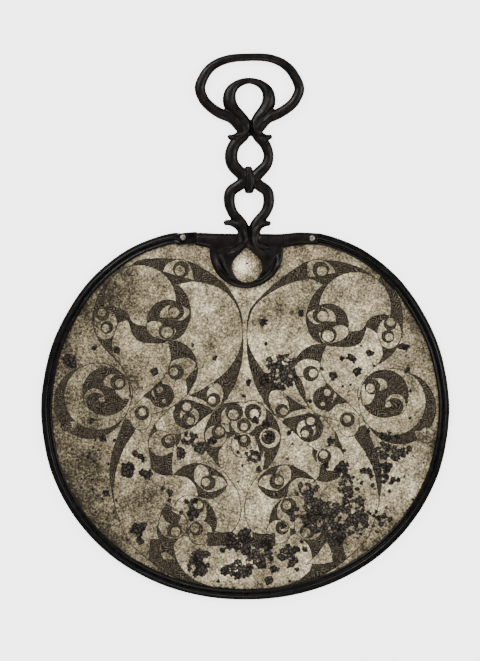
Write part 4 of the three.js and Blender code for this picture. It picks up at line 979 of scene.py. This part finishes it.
# The rods, each a row of [x, y, width] stations.
RODS = {
    "loop": [
        [-11.3, 180, 0.9], [-10.5, 180.2, 2.4], [-7.4, 180, 3.2], [-3.2, 181.8, 5.2], [-2.5, 186, 7.2],
        [-8.4, 192.2, 6.8],
        [-16.2, 195.3, 6.2], [-22.6, 199.8, 6], [-26.9, 205, 6], [-28.6, 213, 6.3], [-22.6, 223.8, 5.4],
        [-12, 229.5, 4.7], [2.5, 231, 4.4], [17, 230, 4.7], [27.8, 224, 5.4], [34.3, 212.4, 5.9],
        [32.2, 204.4, 6], [27.8, 199.4, 6], [21, 195, 6.2], [14, 192.1, 6.8], [8.6, 186, 7.2],
        [9, 181.8, 5.2], [13, 180, 3.2], [16.3, 180.2, 2.4], [17.1, 180, 0.9]],
    "upper ring": [
        [1, 181, 5.2], [1.1, 187, 6.6], [-2.6, 192, 7.6], [-7.6, 197.4, 8], [-10, 203, 8], [-9.2, 209.2, 6.8],
        [-4.6, 214, 4.6], [2.5, 216, 3.4], [9.6, 214, 4.6], [14.2, 209.2, 6.8], [15.1, 203, 8],
        [12.8, 197.4, 8], [8.6, 192, 7.4], [6.2, 187, 6.4], [6.1, 181, 5]],
    "left of the middle rings": [
        [1.8, 186, 6], [-1, 180.8, 6], [-6.6, 175.6, 7], [-8.9, 168.8, 7.6], [-7.8, 162.6, 7.6],
        [-3.2, 157.4, 7.2], [0.1, 153.4, 7], [-3.4, 149.8, 6.6], [-9.2, 145.4, 6.6], [-10, 138.5, 6.5],
        [-8, 132.2, 6], [-4, 127.2, 6.2], [-1.4, 122.6, 6.6], [-1.2, 114, 7]],
    "right of the middle rings": [
        [5.5, 186, 6], [8.2, 180.5, 6], [12.6, 175.4, 6.2], [14.9, 168.8, 5.9], [13.4, 162.4, 6.4],
        [8.6, 157.2, 7], [5.4, 153.4, 7], [8.6, 149.8, 6.6], [14, 145.4, 6.6], [15, 138.5, 6.5],
        [12.9, 132.2, 6], [8.8, 127.2, 6.2], [6.2, 122.6, 6.6], [5.8, 114, 7]],
    "left fin": [
        [-13.7, 125.3, 0.9], [-12.9, 125.5, 2.6], [-9.6, 125.6, 3.2], [-4.6, 123.6, 4.6], [-1, 119.6, 6.4],
        [0, 113, 7]],
    "right fin": [
        [16.4, 124.9, 0.9], [15.6, 125.1, 2.6], [12.6, 125, 3.2], [8.8, 123.4, 4.6], [6, 119.6, 6.4],
        [4.8, 113, 7]],
    "arms": [
        [-31.2, 115.3, 7.6], [-18, 113.8, 9.6], [-8, 113.4, 10], [2, 114, 8.4], [12, 113.3, 10],
        [20.4, 113.6, 9.2], [28, 114.6, 8.2], [35, 115.4, 7.7], [46.5, 115.3, 6.8]],
}
ROD_SWELL = 0.75                 # what the softening takes off a rod's width
# Ridges and valleys cut in the wax: how far it rises, its half width, and its line as [x, y].
CREASES = [
    # lips of the two scrolls over the first ring, and the valley between them
    (1.0, 0.9, [[-10.5, 180.2], [-6.5, 179.6], [-3, 180.2], [0.8, 182.8], [2.5, 186.6], [2.7, 190.5]]),
    (1.0, 0.9, [[17, 180.2], [13, 179.6], [10, 180.2], [6.8, 182.8], [5.2, 186.6], [5, 190.5]]),
    (-1.6, 0.55, [[3.7, 195], [3.8, 188], [3.8, 181], [3.6, 176]]),
    # soft ridges down the legs of the upper ring and the loop's slanting bars
    (0.3, 1.4, [[-11, 207], [-10, 201], [-6.5, 196], [-2.5, 191.5]]),
    (0.3, 1.4, [[16.5, 207], [15, 201], [12, 196], [8.5, 191.5]]),
    (-0.7, 1.0, [[-13.6, 200.4], [-9, 195.6], [-4, 190.4]]),
    (-0.7, 1.0, [[19, 200.4], [15, 195.6], [10.4, 190.4]]),
    # hem of each scroll over the flared arms, and the valley between them
    (0.7, 0.9, [[-12.4, 126.6], [-5.7, 124.9], [-2.4, 121.6], [-0.6, 118], [0.3, 114.4], [-1.7, 110.4],
                [-7.3, 106.8], [-11, 104.6]]),
    (0.7, 0.9, [[16.4, 126.6], [11, 124.9], [7.6, 121.6], [5.8, 118], [4.7, 114.4], [7, 109.9], [12.4, 106.2],
                [16, 104.2]]),
    (0.6, 0.6, [[-3.4, 126.4], [0.2, 122], [1.6, 117.6], [1.8, 113]]),
    (-1.6, 0.7, [[2.7, 127.5], [2.9, 121], [2.7, 114], [2.2, 109.6]]),
    (-0.8, 0.9, [[-3.4, 118.4], [-2.2, 114.4], [-4, 110.8], [-9, 107.6]]),
    (-0.8, 0.9, [[8.6, 118.4], [7.4, 114.4], [9.4, 110.8], [14.4, 107.6]]),
    # rolled edge of the half-moon and the rib inside it
    (0.7, 1.0, [[-21.6, 108], [-20.2, 101], [-16.6, 94.4], [-10.6, 88.6], [-4, 86.2], [0.7, 85.7], [6, 86.3],
                [12.4, 88.8], [18, 94.4], [21.6, 101], [22.8, 108]]),
    (-1.2, 1.1, [[-18.6, 107.6], [-17, 101], [-13.4, 94.6], [-8, 90.2], [0.7, 87.9], [9.6, 90.2], [15, 94.6],
                 [18.7, 101], [20, 107.6]]),
    (1.0, 0.8, [[-15.6, 105], [-13.6, 98], [-11, 93.4], [-7, 89.8]]),
    (1.0, 0.8, [[20.6, 104.6], [19.4, 99], [17.6, 94.4]]),
]
FADE = 0.22                      # the share of a crease at either end over which it dies away
CREASE_FROM = 0.6                # how far above the rods' middle the creases begin
CREASE_RUN = 1.5                 # and over what height they come up to their full strength
WEAR = 0.1                       # height of the slow waves that wear left in the skin, and how wide they are
WEAR_SIZE = 6
PIT_DEPTH = 0.09
PIT_SIZE = 1.6
PIT_RARITY = 0.25
# The collar that ties the rings, [x, y, width, height] stations.
COLLAR = [
    [2, 161.4, 2, 4.7], [2, 160.6, 4, 4.7], [2.3, 157, 5, 4.7], [2.7, 153, 5.8, 4.7], [2.7, 148.5, 5.8, 4.7],
    [2.5, 145.2, 4.8, 4.7], [2.5, 144.2, 3, 4.7]]
# The half-moons.
CRESCENT_CENTRE = (0.7, 107.3)
CRESCENT_RADIUS = 23.4
CRESCENT_BACK = (0.4, 2.2)       # heights of the half-moon under the sheet
CRESCENT_FRONT = (4.3, 6.6)
WINDOW_POINT = 110.4             # y of the window's upper point
CRESCENT_SWEEP = 0.16            # how far past level the half-moon's ends run, in radians
CRESCENT_EDGE = 0.6              # rounding of its edges
CRESCENT_TOP = (12, 112.6)       # half the width and y of its flat top, hidden in the arms


def rod(shape, stations, height=None):
    """Adds a rod of round section along [x, y, width] or [x, y, width, height] stations.

    With a height, its section is softly squeezed and made that much as high as it is wide."""
    line = smooth([[*station[:3], *(station[3:] or [ROD_MIDDLE])] for station in stations], 1.0)
    path = new_curve("rod", [line[:, [0, 1, 3]]], dimensions="3D", bevel_depth=1.0, bevel_resolution=5,
                     use_fill_caps=True)
    for point, width in zip(path.splines[0].points, line[:, 2]):
        point.radius = (width + ROD_SWELL) / 2
    mesh = taken_from(linked(path))
    for vert in mesh.vertices if height else []:
        lift = (vert.co.z - ROD_MIDDLE) * height
        squeezed = lift / (1 + (abs(lift) / ROD_SQUEEZE) ** 4) ** 0.25
        vert.co.z = ROD_MIDDLE + max(-ROD_REACH, min(ROD_REACH, squeezed))
    shape.from_mesh(mesh)


def arc(x, y, radius, start, end, steps):
    return [(x + radius * math.cos(turn), y + radius * math.sin(turn))
            for turn in np.linspace(start, end, steps)]


def half_moon(shape, bottom, top, radius):
    """Adds a half-moon plate with a tear-shaped window, its edges rounded."""
    x, y = CRESCENT_CENTRE
    half_top, top_y = CRESCENT_TOP
    moon = arc(x, y, radius, math.pi - CRESCENT_SWEEP, 2 * math.pi + CRESCENT_SWEEP, 60)
    moon += [(x + half_top, top_y), (x - half_top, top_y)]
    window_x, window_y, window_radius = WINDOW
    side = math.acos(window_radius / (WINDOW_POINT - window_y))
    tear = arc(*WINDOW, math.pi / 2 + side, 2.5 * math.pi - side, 48) + [(window_x, WINDOW_POINT)]
    plate_curve = new_curve(
        "half_moon", [moon, tear], closed=True, dimensions="2D", fill_mode="BOTH",
        extrude=(top - bottom) / 2 - CRESCENT_EDGE, bevel_depth=CRESCENT_EDGE, bevel_resolution=2,
        offset=-CRESCENT_EDGE)
    mesh = taken_from(linked(plate_curve))
    mesh.transform(Matrix.Translation((0, 0, (bottom + top) / 2)))
    shape.from_mesh(mesh)


def fused(shape):
    """The overlapping parts of a shape made one skin, its junctions softened."""
    mesh = bpy.data.meshes.new("casting")
    bmesh.ops.remove_doubles(shape, verts=shape.verts, dist=1e-5)
    shape.to_mesh(mesh)
    shape.clear()
    holder = linked(mesh)
    remesh = holder.modifiers.new("fuse", "REMESH")
    remesh.mode = "VOXEL"
    remesh.voxel_size = VOXEL
    soften = holder.modifiers.new("soften", "SMOOTH")
    soften.factor = 0.5
    soften.iterations = SOFTENING
    shape.from_mesh(taken_from(holder))


def creased(places):
    """How far the creases raise each place, or lower it."""
    lift = np.zeros(len(places))
    for rise, half_width, line in CREASES:
        crest = np.zeros(len(places))
        run = smooth(line, 0.5)
        for along, (x, y) in zip(np.linspace(0, 1, len(run)), run):
            away = np.hypot(places[:, 0] - x, places[:, 1] - y)
            strength = min(1, along / FADE, (1 - along) / FADE)
            crest = np.maximum(crest, strength * np.exp(-(away / half_width) ** 2))
        lift += rise * crest
    return lift * np.clip((places[:, 2] - ROD_MIDDLE - CREASE_FROM) / CREASE_RUN, 0, 1)


def make_handle():
    casting = bmesh.new()
    for name, stations in RODS.items():
        rod(casting, stations, height=ARM_HEIGHT if name == "arms" else 1.0)
    rod(casting, COLLAR)
    half_moon(casting, *CRESCENT_FRONT, CRESCENT_RADIUS)
    half_moon(casting, *CRESCENT_BACK, CRESCENT_RADIUS - 1)
    fused(casting)
    places = np.array([tuple(vert.co) for vert in casting.verts])
    for vert, rise in zip(casting.verts, creased(places)):
        vert.co.z = min(vert.co.z + rise, HANDLE_TOP)
        x, y, z = vert.co
        wave = WEAR * noise.noise((x / WEAR_SIZE, y / WEAR_SIZE, z / WEAR_SIZE))
        pit = max(0.0, noise.noise((x / PIT_SIZE, y / PIT_SIZE, z / PIT_SIZE)) - PIT_RARITY)
        vert.co += vert.normal * (wave - PIT_DEPTH * pit)
    return finished(casting, "handle_casting")


HANDLE_BLACK = (0.001, 0.0009, 0.0008)
HANDLE_BROWN = (0.0085, 0.006, 0.0045)

handle = make_handle()
handle.data.materials.append(
    patina("black handle", (170.0, 5.0, 0.65), [(0.38, HANDLE_BLACK), (0.7, HANDLE_BROWN)],
           gloss=(260.0, 0.32, 0.47), relief=(420.0, 4.0, 0.09), specular=0.14))
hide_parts("handle")
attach(handle, "root")

# ---- the rivets ------------------------------------------------------------------------------------
# Two bronze pins, one through the hammered end of the rim and one through the handle's right arm, each
# beaten over into a low domed head that is worn bright through its dark skin.

RIVETS = {"rivet_left": (-39.6, 116.2), "rivet_right": (42.5, 115.6)}
PIN_RADIUS = 1.1
# Section of a head from the pin to its crown, [radius, how far below the top].
HEAD_SECTION = [[PIN_RADIUS, 0.9], [1.75, 0.9], [1.9, 0.7], [1.7, 0.35], [1.15, 0.08], [0.5, 0], [0, 0.03]]
HEAD_DEPTH = 0.8                 # what lies nearer to the top than this is beaten out of true
HEAD_BEATING = 0.12              # and how far
DENT_SIZE = 1.1                  # width of those dents
HEAD_SIDES = 28
BEATING_SEED = 5                 # gives the same dents on every run
RIVET_DARK = (0.05, 0.043, 0.036)
RIVET_WORN = (0.24, 0.22, 0.2)


def make_rivet(name, x, y):
    low, high = (corner.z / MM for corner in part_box(name))
    profile = [(0, low), (PIN_RADIUS, low), *((radius, high - down) for radius, down in HEAD_SECTION)]
    pin = bmesh.new()
    points = [pin.verts.new((x + radius, y, z)) for radius, z in profile]
    edges = [pin.edges.new(pair) for pair in zip(points, points[1:])]
    bmesh.ops.spin(pin, geom=points + edges, cent=(x, y, 0), axis=(0, 0, 1), angle=2 * math.pi,
                   steps=HEAD_SIDES, use_merge=True)
    bmesh.ops.remove_doubles(pin, verts=pin.verts, dist=1e-3)
    bmesh.ops.recalc_face_normals(pin, faces=pin.faces)
    for vert in pin.verts:
        if vert.co.z > high - HEAD_DEPTH:
            vert.co += HEAD_BEATING * noise.noise_vector(vert.co / DENT_SIZE)
            vert.co.z = min(vert.co.z, high)
    return finished(pin, name + "_pin")


worn_rivet = patina("worn rivet", (700.0, 4.0), [(0.35, RIVET_DARK), (0.62, RIVET_WORN)],
                    gloss=(500.0, 0.3, 0.5), relief=(900.0, 3.0, 0.15), metallic=0.3)
noise.seed_set(BEATING_SEED)
for rivet_name, (rivet_x, rivet_y) in RIVETS.items():
    pin = make_rivet(rivet_name, rivet_x, rivet_y)
    pin.data.materials.append(worn_rivet)
    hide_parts(rivet_name)
    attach(pin, "root")

# ---- the floor, the light and the camera -----------------------------------------------------------
# A white sheet of card under soft boxes, seen from straight above through a long lens. The card glows a
# little of its own, so that it stays white without throwing its light on the mirror.

VIEW_CENTRE = Vector((-3.3, -2.4, 0)) * MM
VIEW_HEIGHT = 420.7 * MM         # of what the camera takes in at the level of the engraved face
CAMERA_HEIGHT = 1.6
SENSOR = 36.0                    # millimetres
CARD_HALF = 6.0                  # half the card's side
CARD_DROP = 0.0002               # the card lies this far below the mirror
CARD_WHITE = 0.6
CARD_GLOW = 3.2                  # the card is lit from below, which the mirror doesn't pick up
CARD_ROUGHNESS = 0.9
ROOM_LIGHT = 0.2

card = bpy.data.meshes.new("floor")
card_shape = bmesh.new()
bmesh.ops.create_grid(card_shape, x_segments=1, y_segments=1, size=CARD_HALF)
card_shape.to_mesh(card)
card_shape.free()
floor = bpy.data.objects.new("floor", card)
floor.location.z = -CARD_DROP
bpy.context.scene.collection.objects.link(floor)
white = bpy.data.materials.new("white card")
white.use_nodes = True
card_inputs = white.node_tree.nodes["Principled BSDF"].inputs
card_inputs["Base Color"].default_value = (CARD_WHITE, CARD_WHITE, CARD_WHITE, 1)
card_inputs["Roughness"].default_value = CARD_ROUGHNESS
card_inputs["Emission Color"].default_value = (1, 1, 1, 1)
seen = add_node(white.node_tree, "LightPath").outputs["Is Camera Ray"]
glow = sums(white.node_tree, "MULTIPLY", seen, CARD_GLOW)
white.node_tree.links.new(glow, card_inputs["Emission Strength"])
card.materials.append(white)

world = bpy.data.worlds.new("studio")
world.use_nodes = True
world.node_tree.nodes["Background"].inputs["Color"].default_value = (1, 1, 1, 1)
world.node_tree.nodes["Background"].inputs["Strength"].default_value = ROOM_LIGHT
bpy.context.scene.world = world


def soft_box(name, place, size, power):
    """A square lamp aimed at the middle of the mirror."""
    lamp = bpy.data.lights.new(name, "AREA")
    lamp.size = size
    lamp.energy = power
    holder = bpy.data.objects.new(name, lamp)
    holder.location = place
    holder.rotation_euler = (-Vector(place)).to_track_quat("-Z", "Y").to_euler()
    bpy.context.scene.collection.objects.link(holder)


soft_box("key", (-0.55, 0.75, 1.0), 0.5, 20.0)
soft_box("fill", (0.85, 0.15, 0.9), 0.5, 13.0)
soft_box("foot", (-0.2, -0.9, 0.9), 0.5, 9.0)

lens = bpy.data.cameras.new("camera")
lens.sensor_width = SENSOR
lens.lens = SENSOR * (CAMERA_HEIGHT - PLATE_TOP * MM) / VIEW_HEIGHT
camera = bpy.data.objects.new("camera", lens)
camera.location = VIEW_CENTRE + Vector((0, 0, CAMERA_HEIGHT))
bpy.context.scene.collection.objects.link(camera)
bpy.context.scene.camera = camera

bpy.context.view_layer.update()
